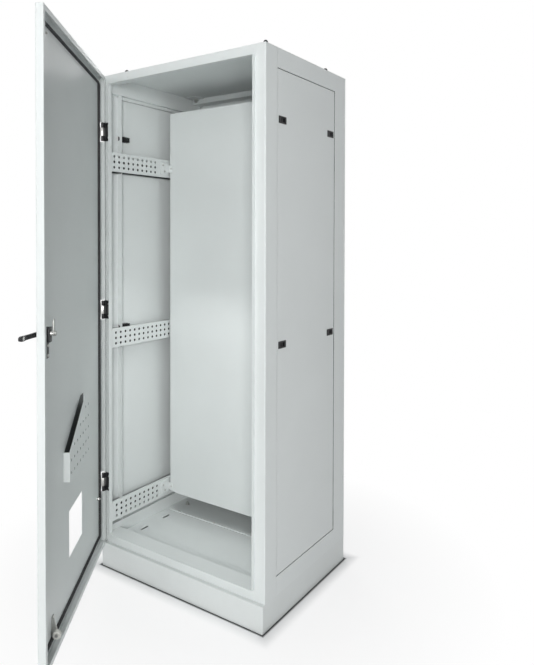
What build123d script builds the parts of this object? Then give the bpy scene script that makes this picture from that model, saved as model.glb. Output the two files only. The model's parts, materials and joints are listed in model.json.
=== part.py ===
from build123d import *
import os
from math import cos, radians, sin

# Free-standing sheet steel cabinet with its door open, in millimetres.
# Origin at floor level under the middle of the plinth, +Z up, door towards -Y, hinges at -X.

# Overall sizes
width = 800.0
depth = 600.0
height = 2000.0
plinth_height = 95.0
plinth_step = 14.0
rear_panel_depth = 12.0

# Sheet gauges
frame_sheet = 2.0
plinth_sheet = 3.0
panel_sheet = 1.5
roof_sheet = 2.0
floor_sheet = 2.0

# Corner posts and rails
post_width = 28.0
front_post_depth = 72.0
rear_post_depth = 81.0
post_corner = 3.0
flange_width = 45.0
rail_depth = 56.0
top_rail_height = 24.0
top_rail_cover = 37.0
bottom_rail_cover = 42.0
rear_rail_cover = 42.0
side_top_rail_height = 67.0
side_bottom_rail_height = 65.0
lip_reach = 15.0
weep_hole_radius = 3.0
weep_hole_left_inset = 140.0
weep_hole_right_inset = 180.0
weep_hole_drop = 24.0

# Plinth
plinth_flange = 40.0
plinth_corner = 4.0
anchor_radius = 7.0
anchor_side_inset = 50.0
anchor_inset = 22.0
plinth_bolt_radius = 6.0
plinth_bolt_side_inset = 100.0
plinth_bolt_inset = 14.0
plinth_bolt_head = 8.0
plinth_bolt_head_radius = 9.6
plinth_bolt_length = 12.0
plinth_bolt_gap = 0.5

# Roof and its corner studs
stud_radius = 6.0
stud_side_inset = 53.0
stud_end_inset = 77.0
stud_above_roof = 24.0
stud_below_plate = 14.0
stud_hole_gap = 0.5
corner_plate_sheet = 4.0
corner_plate_length = 66.0
corner_plate_width = 58.0
washer_radius = 12.0
washer_thickness = 2.5
cap_radius = 8.6
cap_height = 33.0
roof_nut_radius = 9.0
roof_nut_height = 9.6

# Floor and gland plate
floor_rise = 13.0
floor_slot_inset = 82.0
floor_slot_depths = (146.0, 278.0)
floor_slot_length = 42.0
floor_slot_width = 9.0
gland_plate_start = 338.0
gland_plate_overlap = 12.0
floor_stud_inset = 82.0
floor_stud_depth = 418.0

# Side panels, their seats and gaskets
panel_gap = 2.0
panel_recess = 1.5
panel_edge_radius = 1.2
seat_depth = 8.0
seat_width = 12.0
side_gasket_thickness = 1.0

# Side latches
latch_low = 968.0
latch_top_drop = 245.0
latch_inset = 35.0
latch_length = 48.0
latch_height = 25.0
latch_wall = 2.0
latch_body_length = 36.0
latch_body_height = 20.0
latch_travel = 8.0
finger_groove_radius = 4.0
latch_gap = 0.3
window_length = 27.0
window_height = 15.0
window_corner = 2.0
tongue_thickness = 3.5
tongue_height = 12.0
tongue_entry = 3.0
keeper_gap = 1.0
keeper_width = 12.5
keeper_height = 18.0

# Perforated depth rails
rail_low = 218.0
rail_middle = 931.0
rail_top_drop = 348.0
rail_columns = (10, 13, 10)
rail_first_hole = (29.0, 27.0, 20.0)
rail_height = 78.0
rail_channel = 12.0
rail_edge_radius = 1.5
rail_tab = 26.0
hole_radius = 5.5
hole_pitch_y = 26.0
hole_pitch_z = 22.0

# Mounting plate and clips
plate_side_gap = 50.0
plate_bottom = 196.0
plate_top_drop = 103.0
plate_front = 332.0
plate_sheet = 2.5
plate_margin = 34.0
plate_step = 6.0
plate_fold = 16.0
clip_height = 32.0
clip_foot_height = 58.0
clip_foot_length = 52.0
clip_sheet = 2.5
clip_overlap = 13.0
clip_corner = 5.0
clip_screw_places = ((-38.0, 13.0), (-28.0, -13.0))
clip_screw_radius = 2.5
clip_screw_head_radius = 4.5
clip_screw_head = 2.5
plate_bolt_radius = 2.5
plate_bolt_inset = 6.5
plate_bolt_head_radius = 4.6
plate_bolt_head = 3.2
plate_bolt_gap = 0.3

# Hinges
hinge_low = 343.0
hinge_middle = 1049.0
hinge_top_drop = 228.0
hinge_side_inset = 8.0
hinge_front_offset = 13.0
hinge_height = 74.0
hinge_arm_height = 20.0
hinge_arm_radius = 6.5
hinge_gap = 0.3
hinge_plate_width = 34.0
hinge_plate_thickness = 3.0
hinge_barrel_radius = 5.5
hinge_pin_radius = 3.0
hinge_pin_head = 1.5
hinge_pin_head_radius = 4.5
fit_clearance = 0.05
hinge_leaf_width = 30.0
hinge_leaf_height = 60.0
hinge_leaf_sheet = 3.0
hinge_screw_z = 24.0
hinge_leaf_screw_z = 20.0

# Door
door_open_angle = 53.1
door_gap = 3.0
door_fold = 23.0
door_side_inset = 2.0
door_free_inset = 3.0
door_top_inset = 6.0
door_bottom_gap = 3.0
door_rim = 16.0
door_edge_radius = 3.0
notch_margin = 3.0
notch_reach = 20.0
notch_overrun = 1.0
cut_out_from = 305.0
cut_out_to = 475.0
cut_out_bottom = 275.0
cut_out_top = 431.0
cut_out_corner = 4.0
gasket_width = 9.0
gasket_gap = 0.3
gasket_corner = 14.0

# Document pocket
pocket_from = 280.0
pocket_to = 539.0
pocket_bottom = 554.0
pocket_low_top = 650.0
pocket_high_top = 787.0
pocket_peak = 329.0
pocket_shoulder = 740.0
pocket_stand_off = 19.0
pocket_hole_radius = 4.5
pocket_first_hole = 14.0
pocket_hole_pitch = 37.5
pocket_row_pitch = 41.0
pocket_first_row = 24.0
pocket_row_holes = (7, 7, 6, 4, 2)

# Swing handle lock
lock_edge_distance = 60.0
lock_z = 1066.0
dish_length = 133.0
dish_width = 29.0
dish_top = 1079.0
dish_thickness = 3.0
dish_recess = 2.0
dish_rim = 3.5
spindle_radius = 6.0
spindle_clear = 1.0
spindle_disc_radius = 7.5
disc_step = 0.6
lock_body_width = 26.0
lock_body_bottom = 993.0
lock_body_top = 1085.0
lock_body_depth = 20.5
lock_body_corner = 4.0
lock_base_depth = 12.0
lock_gear_bottom = 1040.0
cam_clearance = 1.2
cam_thickness = 3.0
cam_length = 35.0
cam_width = 16.0
cam_corner = 7.0
cam_stud_radius = 4.0
cam_nut_radius = 7.5
cam_nut_height = 6.0
lever_pin_height = 9.5
lever_lift = 11.0
lever_length = 112.0
lever_width = 15.5
lever_below = 4.2
lever_above = 4.8
lever_tip_above = 2.6
lever_crown_drop = 0.6
lever_start = 9.0
lever_neck = 10.0
lever_neck_step = 0.4
lever_eye_radius = 4.2
lever_eye_width = 8.0
lever_pin_radius = 1.75
ear_radius = 4.6
ear_gap = 0.3
key_distance = 93.0
key_radius = 5.5
key_slot_length = 6.5
key_slot_width = 1.6
key_slot_depth = 2.5
key_stand_out = 2.6

# Guide roller at the door foot
roller_edge_distance = 116.0
roller_radius = 12.7
roller_width = 12.0
roller_n = 20.0
roller_gap = 0.4
roller_edge = 1.5
guide_pin_head = 1.5
guide_pin_head_radius = 5.0
guide_pin_radius = 3.0
guide_sheet = 3.0
guide_foot_width = 16.0
guide_top = 48.0
guide_nose = 8.0

# Small screws and earth studs
screw_radius = 2.5
screw_head_radius = 4.5
screw_head = 2.5
screw_hole_radius = 2.65
panel_screw_radius = 3.0
panel_screw_head_radius = 5.5
panel_screw_head = 3.0
panel_screw_hole = 3.3
panel_screw_rows = 6
panel_screw_end = 60.0
panel_screw_inset = 36.0
gland_screw_columns = 4
gland_screw_side_inset = 100.0
gland_screw_inset = 10.0
earth_stud_radius = 4.0
earth_stud_length = 14.0
earth_nut_radius = 6.5
earth_nut_height = 6.5
earth_stud_edge = 62.0
earth_stud_low = 296.0
earth_stud_top_drop = 64.0
earth_washer_radius = 10.0
earth_washer_thickness = 1.6

# Places that follow from the sizes
half_width = width / 2
front_y = plinth_step - depth / 2
rear_y = depth / 2
frame_rear_y = rear_y - rear_panel_depth
frame_top = height - roof_sheet
post_x = half_width - post_width
lip_x = half_width - flange_width
opening_top = height - top_rail_cover - roof_sheet
opening_bottom = plinth_height + bottom_rail_cover
panel_front_y = front_y + front_post_depth
panel_rear_y = frame_rear_y - rear_post_depth
panel_bottom_z = plinth_height + side_bottom_rail_height
panel_top_z = frame_top - side_top_rail_height
seat_x = half_width - seat_depth
panel_face_x = half_width - panel_recess
panel_fold = panel_face_x - seat_x - side_gasket_thickness
floor_top = plinth_height + floor_rise + floor_sheet
rail_x = post_x - rail_channel
tongue_x = seat_x - frame_sheet - keeper_gap
slider_back_x = tongue_x - tongue_thickness
latch_body_depth = panel_face_x - slider_back_x + latch_gap + latch_wall
latch_heights = (latch_low, height - latch_top_drop)
rail_heights = (rail_low, rail_middle, height - rail_top_drop)
clip_heights = (rail_heights[0], rail_heights[2])
hinge_heights = (hinge_low, hinge_middle, height - hinge_top_drop)
anchor_x = half_width - anchor_side_inset
plinth_bolt_x = half_width - plinth_bolt_side_inset
floor_slot_x = half_width - floor_slot_inset
plate_half = half_width - plate_side_gap
plate_top = height - plate_top_drop
plate_front_y = front_y + plate_front
plate_field_x = plate_half - plate_margin
margin_y = plate_front_y + plate_step
plate_bolt_x = plate_half - plate_bolt_inset
hinge_x = hinge_side_inset - half_width
hinge_y = front_y - hinge_front_offset
hinge_plate_x = hinge_x - hinge_arm_radius + hinge_plate_width
hinge_screw_x = hinge_plate_x - 2 * screw_radius
door_width = width - door_side_inset - door_free_inset
door_bottom = plinth_height + door_bottom_gap
door_top = height - door_top_inset
door_face_y = front_y - door_gap - door_fold
lock_u = door_width - lock_edge_distance
roller_u = door_width - roller_edge_distance

os.makedirs("parts", exist_ok=True)


def save(part, name):
    """Labels a finished piece and writes it."""
    part.label = name
    export_step(part, f"parts/{name}.step")


def area(x0, x1, y0, y1, mode=Mode.ADD):
    """Rectangle between two corners of the open sketch."""
    with Locations(((x0 + x1) / 2, (y0 + y1) / 2)):
        Rectangle(abs(x1 - x0), abs(y1 - y0), mode=mode)


def tube(x0, x1, y0, y1, sheet):
    """Hollow rectangle of the open sketch, from its corner (x0, y0)."""
    step_x = sheet if x1 > x0 else -sheet
    step_y = sheet if y1 > y0 else -sheet
    area(x0, x1, y0, y1)
    area(x0 + step_x, x1 - step_x, y0 + step_y, y1 - step_y, mode=Mode.SUBTRACT)


def upright(y):
    """Upright plane at a depth, with local axes X and Z, facing the front."""
    return Plane.XZ.offset(-y)


def mirrored(part):
    """The same piece on the other side of the cabinet."""
    with BuildPart() as other:
        add(part)
        mirror(about=Plane.YZ, mode=Mode.REPLACE)
    return other.part


# Door frame of reference: u runs from the hinge edge, n inwards from the outer face, z is height
door_turn = radians(-door_open_angle)
door_along = Vector(cos(door_turn), sin(door_turn), 0)
door_inward = Vector(-sin(door_turn), cos(door_turn), 0)
door_corner = (
    Vector(hinge_x, hinge_y, 0)
    + door_along * (door_side_inset - half_width - hinge_x)
    + door_inward * (door_face_y - hinge_y)
)


def door_point(u, n, z):
    """Point of the open door."""
    return door_corner + door_along * u + door_inward * n + Vector(0, 0, z)


def door_front(n):
    """Plane parallel to the door face, local axes u and z, facing out."""
    return Plane(origin=door_point(0, n, 0), x_dir=door_along, z_dir=-door_inward)


def door_plan(z):
    """Level plane of the door, local axes u and n, facing up."""
    return Plane(origin=door_point(0, 0, z), x_dir=door_along, z_dir=(0, 0, 1))


def door_side(u):
    """Plane across the door, local axes n and z, facing the free edge."""
    return Plane(origin=door_point(u, 0, 0), x_dir=door_inward, z_dir=door_along)


def u_of(x):
    """Door distance of a place that the closed door covers."""
    return x + half_width - door_side_inset


# Plinth: folded ring with flanges above and below, bored for anchors and for the frame
def plinth_bolt_y(sign):
    """Depth of the front or rear plinth bolts."""
    face = frame_rear_y if sign > 0 else front_y
    return face - sign * plinth_bolt_inset


with BuildPart() as plinth:
    with BuildSketch(Plane.XY):
        RectangleRounded(width, depth, plinth_corner)
    extrude(amount=plinth_height)
    with BuildSketch(Plane.XY.offset(plinth_sheet)):
        Rectangle(width - 2 * plinth_sheet, depth - 2 * plinth_sheet)
    extrude(amount=plinth_height - 2 * plinth_sheet, mode=Mode.SUBTRACT)
    with BuildSketch(Plane.XY):
        Rectangle(width - 2 * plinth_flange, depth - 2 * plinth_flange)
    extrude(amount=plinth_height, mode=Mode.SUBTRACT)
    with BuildSketch(Plane.XY):
        with GridLocations(2 * anchor_x, depth - 2 * anchor_inset, 2, 2):
            Circle(anchor_radius)
    extrude(amount=plinth_sheet, mode=Mode.SUBTRACT)
    with BuildSketch(Plane.XY.offset(plinth_height)):
        for sign in (-1, 1):
            with Locations((0, plinth_bolt_y(sign))):
                with GridLocations(2 * plinth_bolt_x, 0, 2, 1):
                    Circle(plinth_bolt_radius + plinth_bolt_gap)
    extrude(amount=-plinth_sheet, mode=Mode.SUBTRACT)
save(plinth.part, "plinth")

with BuildPart() as plinth_bolts:
    for sign in (-1, 1):
        with BuildSketch(Plane.XY.offset(plinth_height - plinth_sheet)):
            with Locations((0, plinth_bolt_y(sign))):
                with GridLocations(2 * plinth_bolt_x, 0, 2, 1):
                    RegularPolygon(plinth_bolt_head_radius, 6)
        extrude(amount=-plinth_bolt_head)
        with BuildSketch(Plane.XY.offset(plinth_height - plinth_sheet)):
            with Locations((0, plinth_bolt_y(sign))):
                with GridLocations(2 * plinth_bolt_x, 0, 2, 1):
                    Circle(plinth_bolt_radius)
        extrude(amount=plinth_bolt_length)
save(plinth_bolts.part, "plinth_bolts")


# Corner posts: open profile of front or rear flange, outer wall and leg, and the seat of the side panel
def corner_post(face, inward, profile_depth):
    inner = face + inward * profile_depth
    leg_y = inner - inward * frame_sheet
    with BuildPart() as post:
        with BuildSketch(Plane.XY.offset(plinth_height)):
            area(half_width, half_width - frame_sheet, face, inner)
            area(half_width, lip_x, face, face + inward * frame_sheet)
        extrude(amount=frame_top - plinth_height)
        corner = post.edges().filter_by(Axis.Z).sort_by_distance((half_width, face, height / 2))[0]
        fillet(corner, post_corner)
        with BuildSketch(Plane.XY.offset(panel_bottom_z)):
            area(half_width - frame_sheet, post_x, leg_y, inner)
        extrude(amount=panel_top_z - panel_bottom_z)
        with BuildSketch(Plane.XY.offset(panel_bottom_z + seat_width)):
            area(seat_x, seat_x - frame_sheet, inner, inner + inward * seat_width)
        extrude(amount=panel_top_z - panel_bottom_z - 2 * seat_width)
        for z in latch_heights:
            keeper_x = slider_back_x - keeper_gap
            with BuildSketch(upright(inner - inward * frame_sheet / 2)):
                area(keeper_x, keeper_x + keeper_width, z - keeper_height / 2, z + keeper_height / 2)
            extrude(amount=frame_sheet, both=True, mode=Mode.SUBTRACT)
    return post.part


front_post_right = corner_post(front_y, 1, front_post_depth)
save(front_post_right, "front_post_right")

with BuildPart() as front_post_left:
    add(mirrored(corner_post(front_y, 1, front_post_depth)))
    with BuildSketch(upright(front_y)):
        for z in hinge_heights:
            with Locations((hinge_screw_x, z)):
                with GridLocations(0, 2 * hinge_screw_z, 1, 2):
                    Circle(screw_hole_radius)
    extrude(amount=-frame_sheet, mode=Mode.SUBTRACT)
save(front_post_left.part, "front_post_left")

with BuildPart() as rear_posts:
    add(corner_post(frame_rear_y, -1, rear_post_depth))
    add(mirrored(corner_post(frame_rear_y, -1, rear_post_depth)))
save(rear_posts.part, "rear_posts")


# Rails across the front and rear: closed tube between the side rails, and a flange that frames the opening
def cross_rail(face, inward, edge, towards, cover, tube_height):
    with BuildPart() as rail:
        with BuildSketch(Plane.YZ):
            inner = face + inward * rail_depth
            tube(face + inward * frame_sheet, inner, edge, edge + towards * tube_height, frame_sheet)
        extrude(amount=post_x, both=True)
        with BuildSketch(Plane.YZ):
            area(face, face + inward * frame_sheet, edge, edge + towards * cover)
        extrude(amount=lip_x, both=True)
    return rail.part


with BuildPart() as front_top_rail:
    add(cross_rail(front_y, 1, frame_top, -1, top_rail_cover, top_rail_height))
    with BuildSketch(upright(front_y)):
        for x in (weep_hole_left_inset - half_width, half_width - weep_hole_right_inset):
            with Locations((x, height - weep_hole_drop)):
                Circle(weep_hole_radius)
    extrude(amount=-frame_sheet, mode=Mode.SUBTRACT)
save(front_top_rail.part, "front_top_rail")


def bolted_rail(face, inward):
    with BuildPart() as rail:
        cover = bottom_rail_cover if inward > 0 else rear_rail_cover
        add(cross_rail(face, inward, plinth_height, 1, cover, cover))
        with BuildSketch(Plane.XY.offset(plinth_height)):
            with Locations((0, face + inward * plinth_bolt_inset)):
                with GridLocations(2 * plinth_bolt_x, 0, 2, 1):
                    Circle(plinth_bolt_radius + plinth_bolt_gap)
        extrude(amount=frame_sheet, mode=Mode.SUBTRACT)
    return rail.part


save(bolted_rail(front_y, 1), "front_bottom_rail")

with BuildPart() as rear_rails:
    add(cross_rail(frame_rear_y, -1, frame_top, -1, rear_rail_cover, top_rail_height))
    add(bolted_rail(frame_rear_y, -1))
save(rear_rails.part, "rear_rails")


# Rails along the sides: closed tube between the flanges, outer cover and seat between the posts
def side_rail(edge, towards, cover_height):
    inner = edge + towards * cover_height
    with BuildPart() as rail:
        with BuildSketch(upright(front_y + frame_sheet)):
            tube(half_width - frame_sheet, post_x, edge, inner, frame_sheet)
        extrude(amount=front_y - frame_rear_y + 2 * frame_sheet)
        with BuildSketch(upright(panel_front_y)):
            area(half_width, half_width - frame_sheet, edge, inner)
            area(seat_x, seat_x - frame_sheet, inner, inner + towards * seat_width)
        extrude(amount=panel_front_y - panel_rear_y)
    return rail.part


with BuildPart() as side_top_rails:
    add(side_rail(frame_top, -1, side_top_rail_height))
    add(mirrored(side_rail(frame_top, -1, side_top_rail_height)))
save(side_top_rails.part, "side_top_rails")

with BuildPart() as side_bottom_rails:
    add(side_rail(plinth_height, 1, side_bottom_rail_height))
    add(mirrored(side_rail(plinth_height, 1, side_bottom_rail_height)))
save(side_bottom_rails.part, "side_bottom_rails")

# Seal channel: lip standing forward round the door opening
with BuildPart() as seal_channel:
    with BuildSketch(Plane.XZ.offset(-front_y)):
        area(-lip_x - frame_sheet, lip_x + frame_sheet,
             opening_bottom - frame_sheet, opening_top + frame_sheet)
        area(-lip_x, lip_x, opening_bottom, opening_top, mode=Mode.SUBTRACT)
    extrude(amount=lip_reach)
save(seal_channel.part, "seal_channel")


# Roof sheet, corner plates, and the studs with washers, domed caps and nuts
stud_x = half_width - stud_side_inset
stud_front_y = front_y + stud_end_inset
stud_rear_y = rear_y - stud_end_inset


def stud_circles(radius, mode=Mode.ADD):
    """One circle at each roof stud of the open sketch."""
    with Locations((0, (stud_front_y + stud_rear_y) / 2)):
        with GridLocations(2 * stud_x, stud_rear_y - stud_front_y, 2, 2):
            Circle(radius, mode=mode)


with BuildPart() as roof_panel:
    with BuildSketch(Plane.XY.offset(frame_top)):
        with Locations((0, (front_y + rear_y) / 2)):
            RectangleRounded(width, rear_y - front_y, post_corner)
        stud_circles(stud_radius + stud_hole_gap, mode=Mode.SUBTRACT)
    extrude(amount=roof_sheet)
save(roof_panel.part, "roof_panel")

with BuildPart() as roof_corner_plates:
    plate_y = (front_y + rail_depth, frame_rear_y - rail_depth)
    with BuildSketch(Plane.XY.offset(frame_top)):
        for side in (-1, 1):
            plate_x = side * (post_x - corner_plate_length)
            area(side * post_x, plate_x, plate_y[0], plate_y[0] + corner_plate_width)
            area(side * post_x, plate_x, plate_y[1], plate_y[1] - corner_plate_width)
        stud_circles(stud_radius + stud_hole_gap, mode=Mode.SUBTRACT)
    extrude(amount=-corner_plate_sheet)
save(roof_corner_plates.part, "roof_corner_plates")

with BuildPart() as roof_studs:
    with BuildSketch(Plane.XY.offset(height + stud_above_roof)):
        stud_circles(stud_radius)
    extrude(amount=-(stud_above_roof + roof_sheet + corner_plate_sheet + stud_below_plate))
save(roof_studs.part, "roof_studs")

with BuildPart() as roof_washers:
    with BuildSketch(Plane.XY.offset(height)):
        stud_circles(washer_radius)
        stud_circles(stud_radius + stud_hole_gap, mode=Mode.SUBTRACT)
    extrude(amount=washer_thickness)
save(roof_washers.part, "roof_washers")


def domed_cap(x, y):
    """Cap over a roof stud: turned outline with a round top and a blind bore."""
    foot = height + washer_thickness
    bore_top = height + stud_above_roof + stud_hole_gap
    with BuildPart() as cap:
        with BuildSketch(Plane(origin=(x, y, foot), x_dir=(1, 0, 0), z_dir=(0, -1, 0))):
            with BuildLine():
                shoulder = cap_height - cap_radius
                Polyline((0, cap_height), (0, 0), (cap_radius, 0), (cap_radius, shoulder))
                CenterArc((0, shoulder), cap_radius, 0, 90)
            make_face()
            area(0, stud_radius + fit_clearance, 0, bore_top - foot, mode=Mode.SUBTRACT)
        revolve(axis=Axis((x, y, 0), (0, 0, 1)))
    return cap.part


with BuildPart() as roof_caps:
    for x in (-stud_x, stud_x):
        for y in (stud_front_y, stud_rear_y):
            add(domed_cap(x, y))
save(roof_caps.part, "roof_caps")

with BuildPart() as roof_nuts:
    with BuildSketch(Plane.XY.offset(frame_top - corner_plate_sheet)):
        with Locations((0, (stud_front_y + stud_rear_y) / 2)):
            with GridLocations(2 * stud_x, stud_rear_y - stud_front_y, 2, 2):
                RegularPolygon(roof_nut_radius, 6, major_radius=False)
                Circle(stud_radius + fit_clearance, mode=Mode.SUBTRACT)
    extrude(amount=-roof_nut_height)
save(roof_nuts.part, "roof_nuts")

# Rear panel: tray folded towards the frame, with its edge screws
def panel_screw_circles(radius):
    """One circle at each rear panel screw of the open sketch."""
    pitch = (frame_top - plinth_height - 2 * panel_screw_end) / (panel_screw_rows - 1)
    with Locations((0, (plinth_height + frame_top) / 2)):
        with GridLocations(width - 2 * panel_screw_inset, pitch, 2, panel_screw_rows):
            Circle(radius)


with BuildPart() as rear_panel:
    with BuildSketch(upright(rear_y)):
        area(-half_width, half_width, plinth_height, frame_top)
    extrude(amount=rear_panel_depth)
    fillet(rear_panel.edges().filter_by(Axis.Z).group_by(Axis.Y)[-1], post_corner)
    with BuildSketch(upright(frame_rear_y)):
        area(panel_sheet - half_width, half_width - panel_sheet,
             plinth_height + panel_sheet, frame_top - panel_sheet)
    extrude(amount=panel_sheet - rear_panel_depth, mode=Mode.SUBTRACT)
    with BuildSketch(upright(rear_y)):
        panel_screw_circles(panel_screw_hole)
    extrude(amount=panel_sheet, mode=Mode.SUBTRACT)
save(rear_panel.part, "rear_panel")

# Floor sheet with its slots, and the raised gland plate behind it
floor_front_y = front_y + rail_depth
floor_rear_y = frame_rear_y - rail_depth
gland_front_y = front_y + gland_plate_start
gland_screw_y = (gland_front_y + gland_screw_inset / 2, floor_rear_y - gland_screw_inset)


def gland_screw_circles(radius, mode=Mode.ADD):
    """One circle at each gland plate screw of the open sketch."""
    pitch = 2 * (half_width - gland_screw_side_inset) / (gland_screw_columns - 1)
    with Locations((0, sum(gland_screw_y) / 2)):
        with GridLocations(pitch, gland_screw_y[1] - gland_screw_y[0], gland_screw_columns, 2):
            Circle(radius, mode=mode)


with BuildPart() as floor_panel:
    with BuildSketch(Plane.XY.offset(floor_top - floor_sheet)):
        area(-post_x, post_x, floor_front_y, gland_front_y + gland_plate_overlap)
        for x in (-floor_slot_x, floor_slot_x):
            for slot_depth in floor_slot_depths:
                with Locations((x, front_y + slot_depth)):
                    SlotOverall(floor_slot_length, floor_slot_width, rotation=90, mode=Mode.SUBTRACT)
    extrude(amount=floor_sheet)
save(floor_panel.part, "floor_panel")

with BuildPart() as gland_plate:
    with BuildSketch(Plane.XY.offset(floor_top)):
        area(-post_x, post_x, gland_front_y, floor_rear_y)
        gland_screw_circles(panel_screw_hole, mode=Mode.SUBTRACT)
    extrude(amount=floor_sheet)
save(gland_plate.part, "gland_plate")

# Earth stud on the floor, near the left wall, with its washer and nut
with BuildPart() as floor_stud:
    stud_place = (floor_stud_inset - half_width, front_y + floor_stud_depth)
    with BuildSketch(Plane.XY.offset(floor_top + floor_sheet)):
        with Locations(stud_place):
            Circle(earth_washer_radius)
    extrude(amount=earth_washer_thickness)
    with BuildSketch(Plane.XY.offset(floor_top + floor_sheet)):
        with Locations(stud_place):
            RegularPolygon(earth_nut_radius, 6, major_radius=False)
    extrude(amount=earth_washer_thickness + earth_nut_height)
    with BuildSketch(Plane.XY.offset(floor_top + floor_sheet)):
        with Locations(stud_place):
            Circle(earth_stud_radius)
    extrude(amount=earth_stud_length)
save(floor_stud.part, "floor_stud")

with BuildPart() as panel_screws:
    with BuildSketch(upright(rear_y)):
        panel_screw_circles(panel_screw_head_radius)
    extrude(amount=-panel_screw_head)
    with BuildSketch(upright(rear_y)):
        panel_screw_circles(panel_screw_radius)
    extrude(amount=rear_panel_depth)
    with BuildSketch(Plane.XY.offset(floor_top + floor_sheet)):
        gland_screw_circles(panel_screw_head_radius)
    extrude(amount=panel_screw_head)
    with BuildSketch(Plane.XY.offset(floor_top + floor_sheet)):
        gland_screw_circles(panel_screw_radius)
    extrude(amount=-floor_sheet)
save(panel_screws.part, "panel_screws")


# Side panels: trays set into the frame, cut out for their latches
panel_y = (panel_front_y + panel_gap, panel_rear_y - panel_gap)
panel_z = (panel_bottom_z + panel_gap, panel_top_z - panel_gap)
latch_y = (panel_front_y + latch_inset, panel_rear_y - latch_inset)


def side_panel():
    with BuildPart() as panel:
        with BuildSketch(Plane.YZ.offset(panel_face_x)):
            area(*panel_y, *panel_z)
        extrude(amount=-panel_fold)
        fillet(panel.faces().sort_by(Axis.X)[-1].edges(), panel_edge_radius)
        with BuildSketch(Plane.YZ.offset(panel_face_x - panel_sheet)):
            area(panel_y[0] + panel_sheet, panel_y[1] - panel_sheet,
                 panel_z[0] + panel_sheet, panel_z[1] - panel_sheet)
        extrude(amount=-panel_fold, mode=Mode.SUBTRACT)
        with BuildSketch(Plane.YZ.offset(panel_face_x)):
            for y in latch_y:
                for z in latch_heights:
                    with Locations((y, z)):
                        Rectangle(latch_body_length + 2 * latch_gap, latch_body_height + 2 * latch_gap)
        extrude(amount=-panel_sheet, mode=Mode.SUBTRACT)
    return panel.part


save(side_panel(), "side_panel_right")
save(mirrored(side_panel()), "side_panel_left")


def side_gasket():
    with BuildPart() as gasket:
        with BuildSketch(Plane.YZ.offset(seat_x)):
            area(panel_front_y, panel_rear_y, panel_bottom_z, panel_top_z)
            area(panel_front_y + seat_width, panel_rear_y - seat_width,
                 panel_bottom_z + seat_width, panel_top_z - seat_width, mode=Mode.SUBTRACT)
        extrude(amount=side_gasket_thickness)
    return gasket.part


with BuildPart() as side_gaskets:
    add(side_gasket())
    add(mirrored(side_gasket()))
save(side_gaskets.part, "side_gaskets")


# Side latches: housing with a window, and a sprung slider whose tongue enters the post
def latch_housing(y, z, towards):
    """Housing at a place of the panel, whose slider leaves at the end that points towards the post."""
    body_end = y + towards * latch_body_length / 2
    with BuildPart() as housing:
        with BuildSketch(Plane.YZ.offset(panel_face_x)):
            with Locations((y, z)):
                Rectangle(latch_length, latch_height)
        extrude(amount=half_width - panel_face_x)
        with BuildSketch(Plane.YZ.offset(panel_face_x)):
            with Locations((y, z)):
                Rectangle(latch_body_length, latch_body_height)
        extrude(amount=-latch_body_depth)
        with BuildSketch(Plane.YZ.offset(panel_face_x)):
            with Locations((y, z)):
                Rectangle(latch_body_length - 2 * latch_wall, latch_body_height - 2 * latch_wall)
        extrude(amount=latch_wall - latch_body_depth, mode=Mode.SUBTRACT)
        with BuildSketch(Plane.YZ.offset(half_width)):
            with Locations((y, z)):
                RectangleRounded(window_length, window_height, window_corner)
        extrude(amount=panel_face_x - half_width, mode=Mode.SUBTRACT)
        with BuildSketch(upright(body_end)):
            area(tongue_x + latch_gap, slider_back_x - latch_gap,
                 z - tongue_height / 2 - latch_gap, z + tongue_height / 2 + latch_gap)
        extrude(amount=towards * latch_wall, mode=Mode.SUBTRACT)
    return housing.part


def latch_slider(y, z, towards):
    """Slider inside a housing, with a finger groove and the tongue that enters the post."""
    inner_half = latch_body_length / 2 - latch_wall
    near = y + towards * (inner_half - latch_gap)
    far = y - towards * (inner_half - latch_travel - latch_gap)
    post_wall = panel_front_y if towards < 0 else panel_rear_y
    tip = post_wall + towards * (frame_sheet + tongue_entry)
    slider_half = latch_body_height / 2 - latch_wall - latch_gap
    front = panel_face_x - latch_wall
    with BuildPart() as slider:
        with BuildSketch(Plane.XY.offset(z - slider_half)):
            area(front, slider_back_x, near, far)
            with Locations((front, (near + far) / 2)):
                Circle(finger_groove_radius, mode=Mode.SUBTRACT)
        extrude(amount=2 * slider_half)
        with BuildSketch(Plane.XY.offset(z - tongue_height / 2)):
            with BuildLine():
                Polyline(
                    (tongue_x, near),
                    (slider_back_x, near),
                    (slider_back_x, tip - towards * tongue_entry),
                    (tongue_x - tongue_thickness / 2, tip),
                    (tongue_x, tip),
                    close=True,
                )
            make_face()
        extrude(amount=tongue_height)
    return slider.part


latch_places = [(y, z, towards) for y, towards in zip(latch_y, (-1, 1)) for z in latch_heights]
latch_names = ("front_low", "front_high", "rear_low", "rear_high")

with BuildPart() as latch_housings:
    for place in latch_places:
        add(latch_housing(*place))
        add(mirrored(latch_housing(*place)))
save(latch_housings.part, "latch_housings")

for latch_name, place in zip(latch_names, latch_places):
    save(latch_slider(*place), f"latch_slider_right_{latch_name}")
    save(mirrored(latch_slider(*place)), f"latch_slider_left_{latch_name}")


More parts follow.
